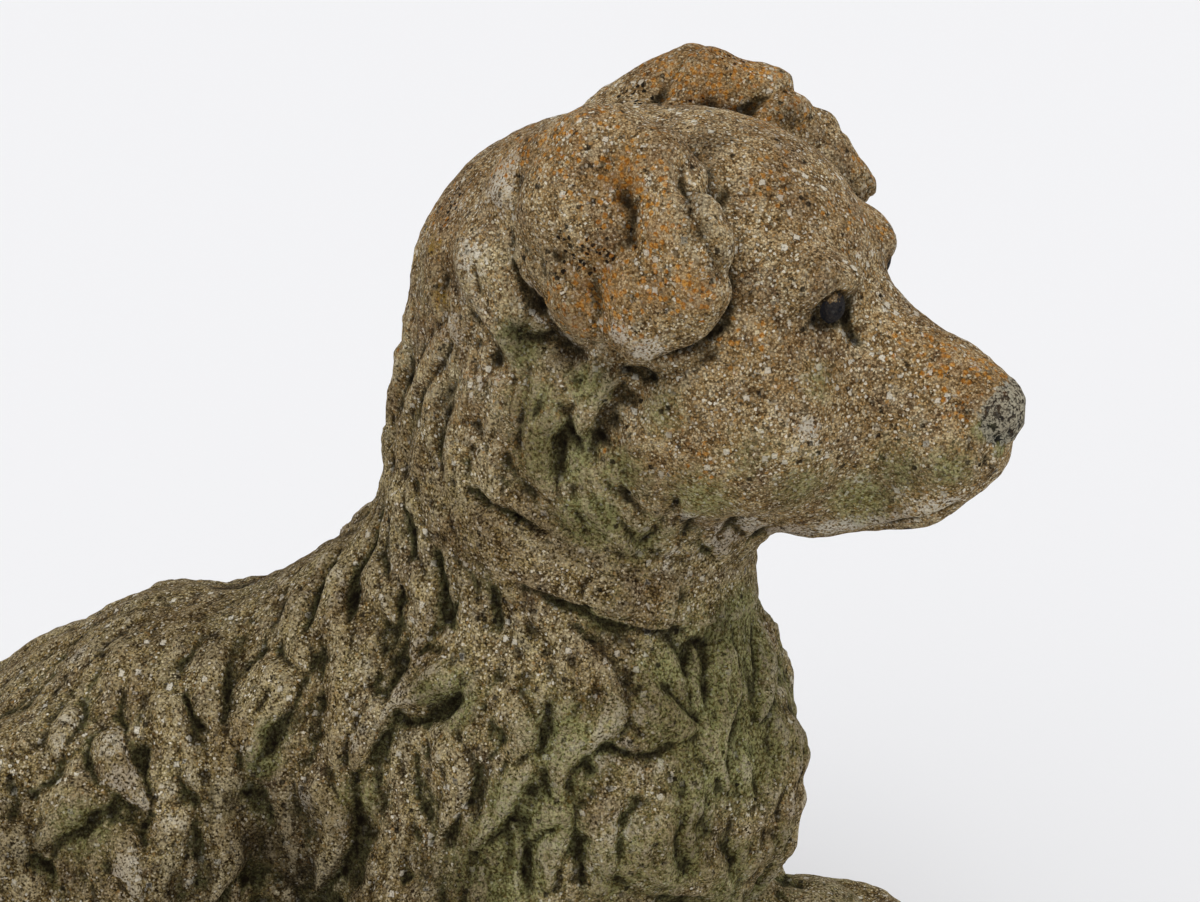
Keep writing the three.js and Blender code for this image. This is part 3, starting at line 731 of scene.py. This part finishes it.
# The casting is one stone. It is parted at the collar's top edge, so that the head can be finer.
def part_of(mesh, below):
    work = bmesh.new()
    work.from_mesh(mesh)
    place = Vector((COLLAR_CENTRE + collar_up * (COLLAR_HALF + 0.6) - SHIFT) / 1000)
    way = Vector(collar_up)
    everything = work.verts[:] + work.edges[:] + work.faces[:]
    bmesh.ops.bisect_plane(
        work, geom=everything, plane_co=place, plane_no=way, clear_outer=below, clear_inner=not below
    )
    rim = [e for e in work.edges if e.is_boundary]
    bmesh.ops.holes_fill(work, edges=rim, sides=0)
    bmesh.ops.triangulate(work, faces=[f for f in work.faces if len(f.verts) > 4])
    made = bpy.data.meshes.new("part")
    work.to_mesh(made)
    work.free()
    return made


def from_cut(mesh):
    """How far each vertex lies from the plane where the casting is parted, in millimetres."""
    return (points_of(mesh) - COLLAR_CENTRE) @ collar_up - COLLAR_HALF - 0.6


def thinned(mesh, most):
    """Fewer faces, with those along the parting left as they are, so that both sides still meet."""
    mesh.calc_loop_triangles()
    faces = len(mesh.loop_triangles)
    if faces <= most:
        return mesh
    holder = bpy.data.objects.new("work", mesh)
    scene.collection.objects.link(holder)
    group = holder.vertex_groups.new(name="free")
    free = np.nonzero(np.abs(from_cut(mesh)) > 3)[0]
    group.add(free.tolist(), 1.0, "REPLACE")
    modifier = holder.modifiers.new("step", "DECIMATE")
    modifier.ratio = most / faces
    modifier.vertex_group = "free"
    graph = bpy.context.evaluated_depsgraph_get()
    made = bpy.data.meshes.new_from_object(holder.evaluated_get(graph))
    bpy.data.objects.remove(holder)
    bpy.data.meshes.remove(mesh)
    return made


pieces = []
for name, below, most in (("terrier_head", False, 190000), ("terrier_body_and_slab", True, 196000)):
    made = thinned(part_of(mesh, below), most)
    made.shade_smooth()
    piece = bpy.data.objects.new(name, made)
    scene.collection.objects.link(piece)
    pieces.append(piece)

# Growth, dirt and painted shade on the near side: across and down as seen from the camera, reach in
# millimetres, strength
SEEN_GROWTH_AND_SHADE = {
    "rust": [
        (625, 185, 12, 1.0), (600, 290, 13, 1.0), (575, 310, 10, 0.9), (650, 240, 10, 0.8),
        (690, 290, 9, 0.9), (640, 165, 10, 0.6), (700, 75, 14, 0.9), (745, 70, 10, 0.7),
        (560, 140, 13, 0.8), (500, 165, 10, 0.45), (530, 150, 10, 0.5), (600, 110, 10, 0.6),
        (650, 290, 8, 0.7), (760, 120, 10, 0.45), (620, 260, 8, 0.6), (985, 372, 9, 0.9),
        (945, 358, 10, 0.7), (905, 340, 9, 0.4), (960, 400, 8, 0.5), (800, 110, 10, 0.5),
        (780, 180, 14, 0.35), (740, 330, 12, 0.3), (840, 220, 12, 0.3), (700, 460, 16, 0.2),
    ],
    "white": [
        (500, 190, 8, 1.0), (510, 165, 7, 0.7), (482, 240, 6, 0.5), (531, 292, 4, 1.3),
        (546, 315, 4, 1.3), (566, 332, 4, 1.1), (618, 334, 4, 1.2), (648, 350, 6, 1.0),
        (600, 345, 4, 0.8), (808, 430, 5, 0.9), (740, 530, 8, 1.2), (715, 550, 6, 1.1),
        (672, 560, 5, 0.8), (770, 532, 8, 1.0), (800, 530, 6, 1.0), (830, 528, 6, 1.1),
        (855, 525, 5, 1.1), (880, 521, 5, 1.1), (905, 516, 5, 1.1), (930, 508, 5, 1.1),
        (952, 500, 4, 1.0), (690, 520, 6, 0.9), (860, 480, 6, 0.5), (900, 495, 5, 0.5),
        (650, 185, 5, 0.4), (620, 330, 4, 0.6), (600, 760, 8, 0.5), (620, 830, 10, 0.6),
        (600, 870, 10, 0.5), (640, 850, 8, 0.5), (112, 745, 6, 1.0), (124, 778, 6, 1.0),
        (142, 803, 5, 1.0), (126, 868, 7, 1.0), (134, 888, 6, 0.8), (68, 722, 5, 0.8), (58, 745, 5, 0.7),
        (353, 735, 5, 0.7), (396, 690, 4, 1.0), (620, 712, 6, 0.8), (640, 712, 6, 0.5),
        (352, 825, 7, 0.8), (300, 800, 6, 0.8), (76, 655, 5, 0.9), (340, 590, 6, 0.4), (170, 820, 5, 0.6),
        (135, 755, 5, 0.7), (450, 440, 6, 0.4), (480, 300, 9, 0.35), (640, 800, 9, 0.4),
        (604, 640, 7, 0.3), (180, 660, 10, 0.25), (430, 130, 8, 0.4), (470, 260, 10, 0.65),
        (450, 330, 10, 0.6), (455, 205, 9, 0.5), (485, 385, 10, 0.45), (440, 420, 7, 0.5),
        (460, 300, 8, 0.4), (520, 420, 9, 0.35), (480, 440, 8, 0.5),
    ],
    "gold": [
        (434, 245, 7, 0.9), (436, 300, 7, 0.9), (428, 225, 6, 0.7), (440, 330, 6, 0.5),
        (780, 270, 13, 0.35), (900, 365, 10, 0.4), (590, 400, 9, 0.3), (640, 300, 10, 0.25),
        (60, 690, 12, 0.25), (600, 370, 8, 0.3),
    ],
    "dots": [
        (580, 250, 9, 1.0), (560, 265, 6, 0.8), (450, 200, 6, 0.9), (640, 97, 8, 0.7), (730, 55, 7, 0.8),
        (610, 140, 6, 0.4), (985, 520, 5, 0.3), (745, 790, 14, 0.25),
    ],
    "algae": [
        (700, 700, 26, 0.8), (750, 740, 22, 0.9), (740, 640, 18, 0.9), (640, 850, 22, 0.4),
        (530, 820, 18, 0.8), (560, 740, 16, 0.6), (430, 692, 6, 0.9), (500, 870, 20, 0.7),
        (450, 700, 12, 0.6), (262, 762, 6, 1.0), (270, 735, 5, 1.0), (590, 385, 8, 0.7),
        (520, 345, 9, 0.7), (560, 450, 14, 0.8), (590, 520, 12, 0.8), (540, 400, 12, 0.5),
        (620, 470, 12, 0.5), (700, 500, 14, 0.5), (640, 540, 12, 0.5), (760, 580, 10, 0.9),
        (985, 430, 4, 0.9), (1000, 448, 3, 0.8), (900, 470, 12, 0.4), (860, 500, 14, 0.5),
        (800, 490, 14, 0.4), (950, 470, 9, 0.5), (820, 380, 8, 0.35), (1000, 436, 2.5, 1.0),
        (620, 880, 14, 0.5), (80, 830, 12, 0.6), (360, 800, 10, 0.5), (660, 410, 10, 0.4),
        (750, 460, 12, 0.3),
    ],
    # The dirt list is dirt and painted shade: the shadow under the ear's lower edge, and shade in the
    # hollows of the haunch, the head's creases and the nostril.
    "dirt_and_shade": [
        (262, 850, 16, 1.0), (300, 880, 18, 1.0), (225, 800, 10, 0.8), (350, 870, 12, 0.8),
        (20, 850, 12, 0.8), (210, 880, 14, 0.8), (250, 790, 9, 0.8), (60, 890, 10, 0.6),
        (410, 860, 9, 0.6), (520, 336, 6, 1.0), (570, 352, 6, 0.8), (610, 372, 8, 0.7),
        (660, 378, 8, 0.5), (395, 385, 4, 1.0), (720, 620, 7, 0.6), (710, 140, 6, 0.5),
        (698, 230, 4, 1.0), (690, 200, 3.5, 0.8), (722, 270, 4, 1.0), (850, 330, 2.5, 1.0),
        (1002, 438, 2.2, 1.0), (300, 820, 10, 0.9), (180, 895, 12, 0.9), (430, 880, 10, 0.7),
        (790, 115, 6, 0.6), (400, 730, 7, 0.5), (10, 860, 10, 0.7), (470, 880, 12, 0.5),
        (180, 870, 8, 0.4), (240, 830, 9, 0.6), (890, 490, 6, 0.3), (620, 610, 6, 0.3),
        (200, 640, 14, 0.35), (130, 620, 12, 0.3),
    ],
}


def growth(p, kind):
    """From 0 to 1, where one kind of growth, or the dirt and painted shade, was seen on the near side."""
    total = np.zeros(len(p))
    for across, down, reach, strength in SEEN_GROWTH_AND_SHADE[kind]:
        for place in seen([(across, down)]):
            away = np.linalg.norm(p - place, axis=1) / reach
            total = np.maximum(total, strength * np.exp(-(away**2)))
    return total


def drift(low, high, values):
    t = np.clip((values - low) / (high - low), 0, 1)
    return t * t * (3 - 2 * t)


def weather(mesh):
    """Weathering as values at the vertices: how hollow the stone is, and where growth, dirt, painted shade
    and coat lie.
    """
    p = points_of(mesh)
    n = normals_of(mesh)
    q = head_frame(p)
    fine = ((smoothed(mesh, p, 5) - p) * n).sum(axis=1)
    broad = ((smoothed(mesh, p, 45) - p) * n).sum(axis=1)
    hollow = np.clip(fine * 2.2, -1, 1) * 0.5 + 0.5
    valley = np.clip(broad * 0.6, -1, 1) * 0.5 + 0.5
    above = (p - COLLAR_CENTRE) @ collar_up
    head_like = drift(4, 50, above)
    facing_up = n[:, 2]
    hidden = drift(-20, 30, p[:, 1])  # 1 on the side that the photograph doesn't show
    wide = speckle(p, 38, 21)
    middle = speckle(p, 15, 22)
    small = speckle(p, 6, 23)
    rust = growth(p, "rust")
    rust_here = head_like * drift(-0.1, 0.7, facing_up) * drift(-0.1, 0.6, wide + 0.5 * middle) * 0.75
    rust = np.maximum(rust, rust_here * (0.3 + 0.7 * hidden))
    white = growth(p, "white")
    ridges = drift(0.08, 0.5, -fine * 1.3 + 0.16 * middle - 0.1) * drift(-0.2, 0.5, wide + 0.3 * small)
    white = np.maximum(white, ridges * (0.74 + 0.1 * hidden) * (1 - 0.4 * head_like))
    high = drift(30, 100, p[:, 2])
    gold = np.maximum(growth(p, "gold"), hidden * high * drift(0.35, 0.8, speckle(p, 30, 31)) * 0.6)
    dots = np.maximum(growth(p, "dots"), hidden * drift(0.5, 0.85, speckle(p, 26, 32)) * 0.8)
    algae = growth(p, "algae")
    damp = drift(0.5, 1.0, valley + 0.12 * middle) * 0.55
    throat = np.exp(-(((p[:, 0] - 130) / 45) ** 2)) * drift(210, 150, p[:, 2]) * drift(0, 60, p[:, 2])
    low_green = drift(60, 5, p[:, 2]) * 0.45
    wet = damp + throat * 0.5 * drift(-0.6, 0.5, middle) + low_green * drift(-0.4, 0.5, wide)
    algae = np.maximum(algae, np.clip(wet, 0, 0.8) * (1 - 0.55 * head_like))
    # Dirt and painted shade: the listed spots, and darker in the broad hollows where shade falls.
    dirt_and_shade = np.maximum(growth(p, "dirt_and_shade"), drift(0.57, 0.88, valley))
    # Painted shade: darker towards the bottom, broken up by noise.
    dirt_and_shade = np.maximum(dirt_and_shade, drift(70, 10, p[:, 2]) * 0.35 * drift(-0.3, 0.5, wide))
    coat = 1 - smoothness(p)
    layers = {
        "relief": (hollow, valley, head_like),
        "growth": (rust, white, algae),
        "marks": (gold, dots, dirt_and_shade),
        "lie": (facing_up * 0.5 + 0.5, coat),
    }
    for name, values in layers.items():
        layer = mesh.attributes.new(name, "FLOAT_COLOR", "POINT")
        colours = np.ones((len(p), 4))
        colours[:, : len(values)] = np.stack(values, axis=1)
        layer.data.foreach_set("color", colours.ravel())


# The stone's shader
class Value:
    """A number that varies over the stone. Sums with it add the shader's own nodes."""

    def __init__(self, maker, socket):
        self.maker = maker
        self.socket = socket

    def joined(self, operation, a, b):
        made = self.maker.node("ShaderNodeMath", {"operation": operation}, {0: a, 1: b})
        return Value(self.maker, made.outputs[0])

    def __add__(self, other):
        return self.joined("ADD", self, other)

    def __radd__(self, other):
        return self.joined("ADD", other, self)

    def __sub__(self, other):
        return self.joined("SUBTRACT", self, other)

    def __rsub__(self, other):
        return self.joined("SUBTRACT", other, self)

    def __mul__(self, other):
        return self.joined("MULTIPLY", self, other)

    def __rmul__(self, other):
        return self.joined("MULTIPLY", other, self)

    def most(self, other):
        return self.joined("MAXIMUM", self, other)

    def within(self, low, high):
        """0 below low, 1 above high, and smooth between."""
        settings = {"interpolation_type": "SMOOTHSTEP"}
        inputs = {"Value": self, "From Min": low, "From Max": high}
        made = self.maker.node("ShaderNodeMapRange", settings, inputs)
        return Value(self.maker, made.outputs[0])


class Shader:
    def __init__(self, material):
        material.use_nodes = True
        self.tree = material.node_tree
        self.surface = self.tree.nodes["Principled BSDF"]

    def node(self, kind, settings, inputs):
        made = self.tree.nodes.new(kind)
        for name, value in settings.items():
            if name == "stops":
                ramp = made.color_ramp
                while len(ramp.elements) < len(value):
                    ramp.elements.new(0.5)
                for element, (place, colour) in zip(ramp.elements, value):
                    element.position = place
                    element.color = colour
            elif name == "steps":
                made.color_ramp.interpolation = value
            else:
                setattr(made, name, value)
        for name, value in inputs.items():
            if isinstance(value, Value):
                self.tree.links.new(value.socket, made.inputs[name])
            else:
                made.inputs[name].default_value = value
        return made

    def output(self, kind, settings, inputs, name):
        return Value(self, self.node(kind, settings, inputs).outputs[name])

    def blend(self, a, b, share, how="MIX"):
        """Colour b laid over colour a by a share from 0 to 1."""
        settings = {"data_type": "RGBA", "blend_type": how}
        made = self.node("ShaderNodeMix", settings, {"Factor": share, "A": a, "B": b})
        return Value(self, made.outputs["Result"])

    def layer(self, name):
        """Three values kept at the vertices."""
        colour = self.output("ShaderNodeAttribute", {"attribute_name": name}, {}, "Color")
        parts = self.node("ShaderNodeSeparateColor", {}, {"Color": colour})
        return [Value(self, parts.outputs[i]) for i in range(3)]

    def noise(self, place, scale, detail=2.0):
        inputs = {"Vector": place, "Scale": scale, "Detail": detail}
        return self.output("ShaderNodeTexNoise", {}, inputs, "Fac")

    def grains(self, place, scale, shape="EUCLIDEAN"):
        """Scattered grains: the distance from the nearest, and two random values of its own."""
        made = self.node("ShaderNodeTexVoronoi", {"distance": shape}, {"Vector": place, "Scale": scale})
        own = self.node("ShaderNodeSeparateColor", {}, {"Color": Value(self, made.outputs["Color"])})
        distance = Value(self, made.outputs["Distance"])
        return distance, Value(self, own.outputs[0]), Value(self, own.outputs[1])

    def moved(self, place, way, by):
        """Coordinates after one of the vector operations."""
        return self.output("ShaderNodeVectorMath", {"operation": way}, {0: place, 1: by}, 0)

    def from_spot(self, place, centre, radii):
        """How far from a spot on the head, where 1 is the edge of an ellipsoid with those radii."""
        spot = (from_head_frame(np.array([centre], float))[0] - SHIFT) / 1000
        gap = self.moved(self.moved(place, "SUBTRACT", spot), "MULTIPLY", 1000 / np.array(radii))
        return self.output("ShaderNodeVectorMath", {"operation": "LENGTH"}, {0: gap}, "Value")


def tone(red, green, blue):
    """A colour from its usual 0 to 255 numbers."""
    made = []
    for value in (red, green, blue):
        v = value / 255
        made.append(v / 12.92 if v <= 0.04045 else ((v + 0.055) / 1.055) ** 2.4)
    return (*made, 1)


stone = bpy.data.materials.new("weathered_stone")
look = Shader(stone)
place = look.output("ShaderNodeTexCoord", {}, {}, "Object")
hollow, valley, head_like = look.layer("relief")
rust, white, algae = look.layer("growth")
gold, dots, dirt_and_shade = look.layer("marks")
facing_up, coat, _ = look.layer("lie")

# Cement and sand, warmer on the head and more olive on the body. On the head the faces that point up take
# more of the lighter warm tone: a warmer stone, and painted top light as well.
jitter = look.output("ShaderNodeTexNoise", {}, {"Vector": place, "Scale": 900, "Detail": 1}, "Color")
uneven = look.moved(place, "ADD", look.moved(jitter, "MULTIPLY", (0.0011, 0.0011, 0.0011)))
cloud = look.noise(place, 45, 3)
mottle = look.noise(place, 230, 4)
near_sand, sand_kind, sand_chance = look.grains(place, 1500)
grit = look.noise(place, 1150, 2) * 0.6 + sand_kind * 0.2 + 0.1
between = near_sand.within(0.42, 0.7)
warm = look.output(
    "ShaderNodeValToRGB",
    {"stops": [(0.28, tone(118, 86, 50)), (0.5, tone(188, 154, 104)), (0.68, tone(228, 204, 162))]},
    {"Fac": mottle},
    "Color",
)
olive = look.output(
    "ShaderNodeValToRGB",
    {"stops": [(0.3, tone(84, 66, 32)), (0.5, tone(152, 129, 78)), (0.7, tone(204, 182, 130))]},
    {"Fac": mottle},
    "Color",
)
# Painted light: on the head, upward faces lean to the lighter warm tone and the sides to the darker olive.
colour = look.blend(olive, warm, head_like * (0.35 + 0.65 * facing_up))
grey = look.noise(place, 95, 3).within(0.5, 0.66)
colour = look.blend(colour, tone(134, 114, 98), grey * 0.35)
pale = look.noise(place, 70, 3).within(0.48, 0.64) * coat
colour = look.blend(colour, tone(168, 160, 112), pale * 0.3)
colour = look.blend(colour, tone(190, 176, 136), pale * head_like * 0.45)
colour = look.blend(colour, tone(226, 208, 166), grit.within(0.52, 0.62) * 0.6)
colour = look.blend(colour, tone(36, 24, 6), grit.within(0.47, 0.37) * (0.85 - 0.3 * head_like))
colour = look.blend(colour, tone(236, 222, 186), sand_kind.within(0.86, 0.9) * (0.65 - 0.45 * algae))
colour = look.blend(colour, tone(40, 28, 10), sand_chance.within(0.2, 0.14).most(between * 0.7) * 0.75)

# Grains of crushed stone that the weather has laid bare
near_grain, grain_kind, grain_chance = look.grains(uneven, 820)
grain_colour = look.output(
    "ShaderNodeValToRGB",
    {
        "steps": "CONSTANT",
        "stops": [
            (0.0, tone(170, 150, 116)),
            (0.25, tone(112, 88, 58)),
            (0.42, tone(176, 134, 76)),
            (0.54, tone(148, 138, 118)),
            (0.68, tone(84, 62, 38)),
            (0.8, tone(214, 202, 176)),
            (0.9, tone(40, 30, 18)),
        ],
    },
    {"Fac": grain_kind},
    "Color",
)
bare_grain = near_grain.within(0.6, 0.35) * (0.5 + 0.3 * head_like) * grain_chance.within(0.35, 0.6)
colour = look.blend(colour, grain_colour, bare_grain)

# Fine lines that run down the coat
drawn_out = look.moved(place, "MULTIPLY", (1, 1, 0.2))
hair = look.noise(drawn_out, 640, 2)
colour = look.blend(colour, tone(52, 40, 16), hair.within(0.48, 0.36) * coat * 0.4)
colour = look.blend(colour, tone(192, 176, 132), hair.within(0.56, 0.7) * coat * 0.35)

# Bright chips of quartz and shell, larger and rare
near_chip, chip_chance, pit_chance = look.grains(uneven, 330, "CHEBYCHEV")
on_crown = head_like * facing_up
chip = near_chip.within(0.34, 0.27) * (chip_chance + on_crown * 0.05).within(0.94, 0.95)
chip = chip * (0.35 + 0.65 * facing_up)
fleck = near_grain.within(0.5, 0.3) * (grain_chance + on_crown * 0.06).within(0.91, 0.93) * 0.85
colour = look.blend(colour, tone(240, 232, 212), chip.most(fleck))

# Pale crust on the ridges, broken up by the grit
crust_noise = look.noise(place, 480, 3)
crust = (white * 0.8 + crust_noise * 1.3 - 0.92).within(0.0, 0.3) * grit.within(0.4, 0.54)
crust = crust * hollow.within(0.68, 0.48)
colour = look.blend(colour, tone(214, 206, 188), crust * 0.88)

# Algae, thin and green, with a paler bloom of its own
green = look.blend(tone(66, 66, 20), tone(152, 154, 100), look.noise(place, 900, 3).within(0.42, 0.58))
film = (algae * 1.15 + mottle * 0.6 - 0.36).within(0.0, 0.6)
colour = look.blend(colour, green, film * 0.7)

# Yellow lichen, orange spots and black dots
yellow = (gold * 0.8 + crust_noise - 0.92).within(0.0, 0.3) * grit.within(0.4, 0.55)
colour = look.blend(colour, tone(170, 138, 52), yellow * 0.75)
near_spot, spot_chance, dot_chance = look.grains(uneven, 540)
rust_spot = near_spot.within(0.62, 0.35) * (rust * 0.85 - spot_chance - 0.02).within(0.0, 0.1)
rust_tone = look.blend(tone(164, 98, 20), tone(206, 146, 60), grit.within(0.42, 0.58))
colour = look.blend(colour, tone(150, 104, 48), rust * mottle.within(0.36, 0.6) * 0.6)
colour = look.blend(colour, rust_tone, rust_spot * 0.8)
dot = near_spot.within(0.46, 0.34) * (dots * 0.85 - dot_chance - 0.02).within(0.0, 0.08)
colour = look.blend(colour, tone(24, 20, 16), dot * 0.95)

# Small pits left by air in the cast, darkened with painted shade
pit = near_chip.within(0.3, 0.16) * pit_chance.within(0.9, 0.92)
prick = look.noise(place, 1500, 1).within(0.62, 0.7) * (1 - 0.5 * head_like)
colour = look.blend(colour, tone(30, 24, 14), pit.most(prick * 0.8) * 0.85)

# Dirt and painted shade in every hollow, and light edges that are painted highlight as well as wear
# Painted shade: the hollower the stone, the darker, joined with the dirt and painted shade kept at the
# vertices.
crevice_shade = hollow.within(0.55, 0.98) * 0.85
colour = look.blend(colour, tone(20, 13, 3), crevice_shade.most(dirt_and_shade * (0.5 + mottle * 0.9)) * 0.92)
# Painted highlight on the broad crests of the coat.
crest = valley.within(0.44, 0.15) * coat * (1 - algae) * grit.within(0.48, 0.58)
colour = look.blend(colour, tone(204, 184, 132), crest * 0.3)
# Painted highlight and wear along the fine edges.
edge = hollow.within(0.45, 0.12) * (0.3 + 0.6 * cloud) * grit.within(0.36, 0.56)
colour = look.blend(colour, tone(190, 175, 142), edge * 0.6)

# Remnants of dark paint on the eyes and on the nose's pad. The top of each eye is left without paint as a
# pale painted highlight.
pad = look.from_spot(place, [224.5, 0, 241], [10, 22, 10]) + (crust_noise - 0.5) * 0.5
pad = pad.within(1.06, 0.98)
grey_pad = look.blend(tone(70, 68, 60), tone(172, 166, 146), grit.within(0.38, 0.54))
grey_pad = look.blend(grey_pad, tone(28, 29, 32), crust_noise.within(0.53, 0.58))
colour = look.blend(colour, grey_pad, pad * 0.85)
for side in (-1, 1):
    eye = look.from_spot(place, [174.6, 27.6 * side, 276.6], [4.2, 6.5, 5.6]).within(1.06, 0.94)
    # Painted highlight: a pale glint on top of each eye, where the dark paint is held off.
    eye_glint = look.from_spot(place, [174, 29 * side, 281.4], [3.2, 6.5, 2.2]) + (grit - 0.5) * 2.0
    colour = look.blend(colour, tone(36, 38, 44), eye * eye_glint.within(0.8, 1.0) * 0.95)
patch = {"stops": [(0.32, (0.64, 0.59, 0.55, 1)), (0.55, (0.96, 0.96, 0.96, 1)), (0.7, (1, 1, 1, 1))]}
shade = look.output("ShaderNodeValToRGB", patch, {"Fac": cloud}, "Color")
colour = look.blend(colour, shade, 1.0, "MULTIPLY")
look.tree.links.new(colour.socket, look.surface.inputs["Base Color"])

height = chip * 0.8 + mottle * 2.2 + grit * 2.4 + hair * coat * 2.4 - pit * 1.6 - prick * 0.5
bump = look.node("ShaderNodeBump", {}, {"Height": height, "Strength": 1.0, "Distance": 0.0009})
look.tree.links.new(bump.outputs["Normal"], look.surface.inputs["Normal"])
look.surface.inputs["Roughness"].default_value = 0.92
look.surface.inputs["Specular IOR Level"].default_value = 0.08

for piece in pieces:
    weather(piece.data)
    piece.data.materials.clear()
    piece.data.materials.append(stone)
    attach(piece, "root")
    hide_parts("terrier")

# Floor, light and camera
work = bmesh.new()
bmesh.ops.create_grid(work, x_segments=1, y_segments=1, size=8)
floor_mesh = bpy.data.meshes.new("floor")
work.to_mesh(floor_mesh)
work.free()
floor = bpy.data.objects.new("floor", floor_mesh)
scene.collection.objects.link(floor)
pale = bpy.data.materials.new("pale_floor")
pale.use_nodes = True
pale.node_tree.nodes["Principled BSDF"].inputs["Base Color"].default_value = (0.89, 0.891, 0.904, 1)
pale.node_tree.nodes["Principled BSDF"].inputs["Roughness"].default_value = 0.9
floor_mesh.materials.append(pale)

world = bpy.data.worlds.new("soft_room")
world.use_nodes = True
world.node_tree.nodes["Background"].inputs["Color"].default_value = (0.99, 0.99, 1, 1)
world.node_tree.nodes["Background"].inputs["Strength"].default_value = 0.66
scene.world = world
scene.view_settings.view_transform = "Standard"


def wide_lamp(name, across, rise, spread, strength):
    """Light from far away: across is its angle round the statue, and rise its height, in degrees."""
    lamp = bpy.data.lights.new(name, "SUN")
    lamp.angle = math.radians(spread)
    lamp.energy = strength
    a = math.radians(across)
    b = math.radians(rise)
    back = Vector((math.sin(a) * math.cos(b), -math.cos(a) * math.cos(b), math.sin(b)))
    holder = bpy.data.objects.new(name, lamp)
    holder.rotation_euler = back.to_track_quat("Z", "Y").to_euler()
    scene.collection.objects.link(holder)


wide_lamp("top_light", 40, 62, 50, 1.0)
wide_lamp("front_light", -30, 35, 60, 0.45)

camera = bpy.data.cameras.new("camera")
camera.lens = CAMERA_LENS
camera.sensor_width = SENSOR_WIDTH
camera.clip_end = 50
holder = bpy.data.objects.new("camera", camera)
holder.location = camera_place
holder.rotation_euler = camera_back.to_track_quat("Z", "Y").to_euler()
scene.collection.objects.link(holder)
scene.camera = holder
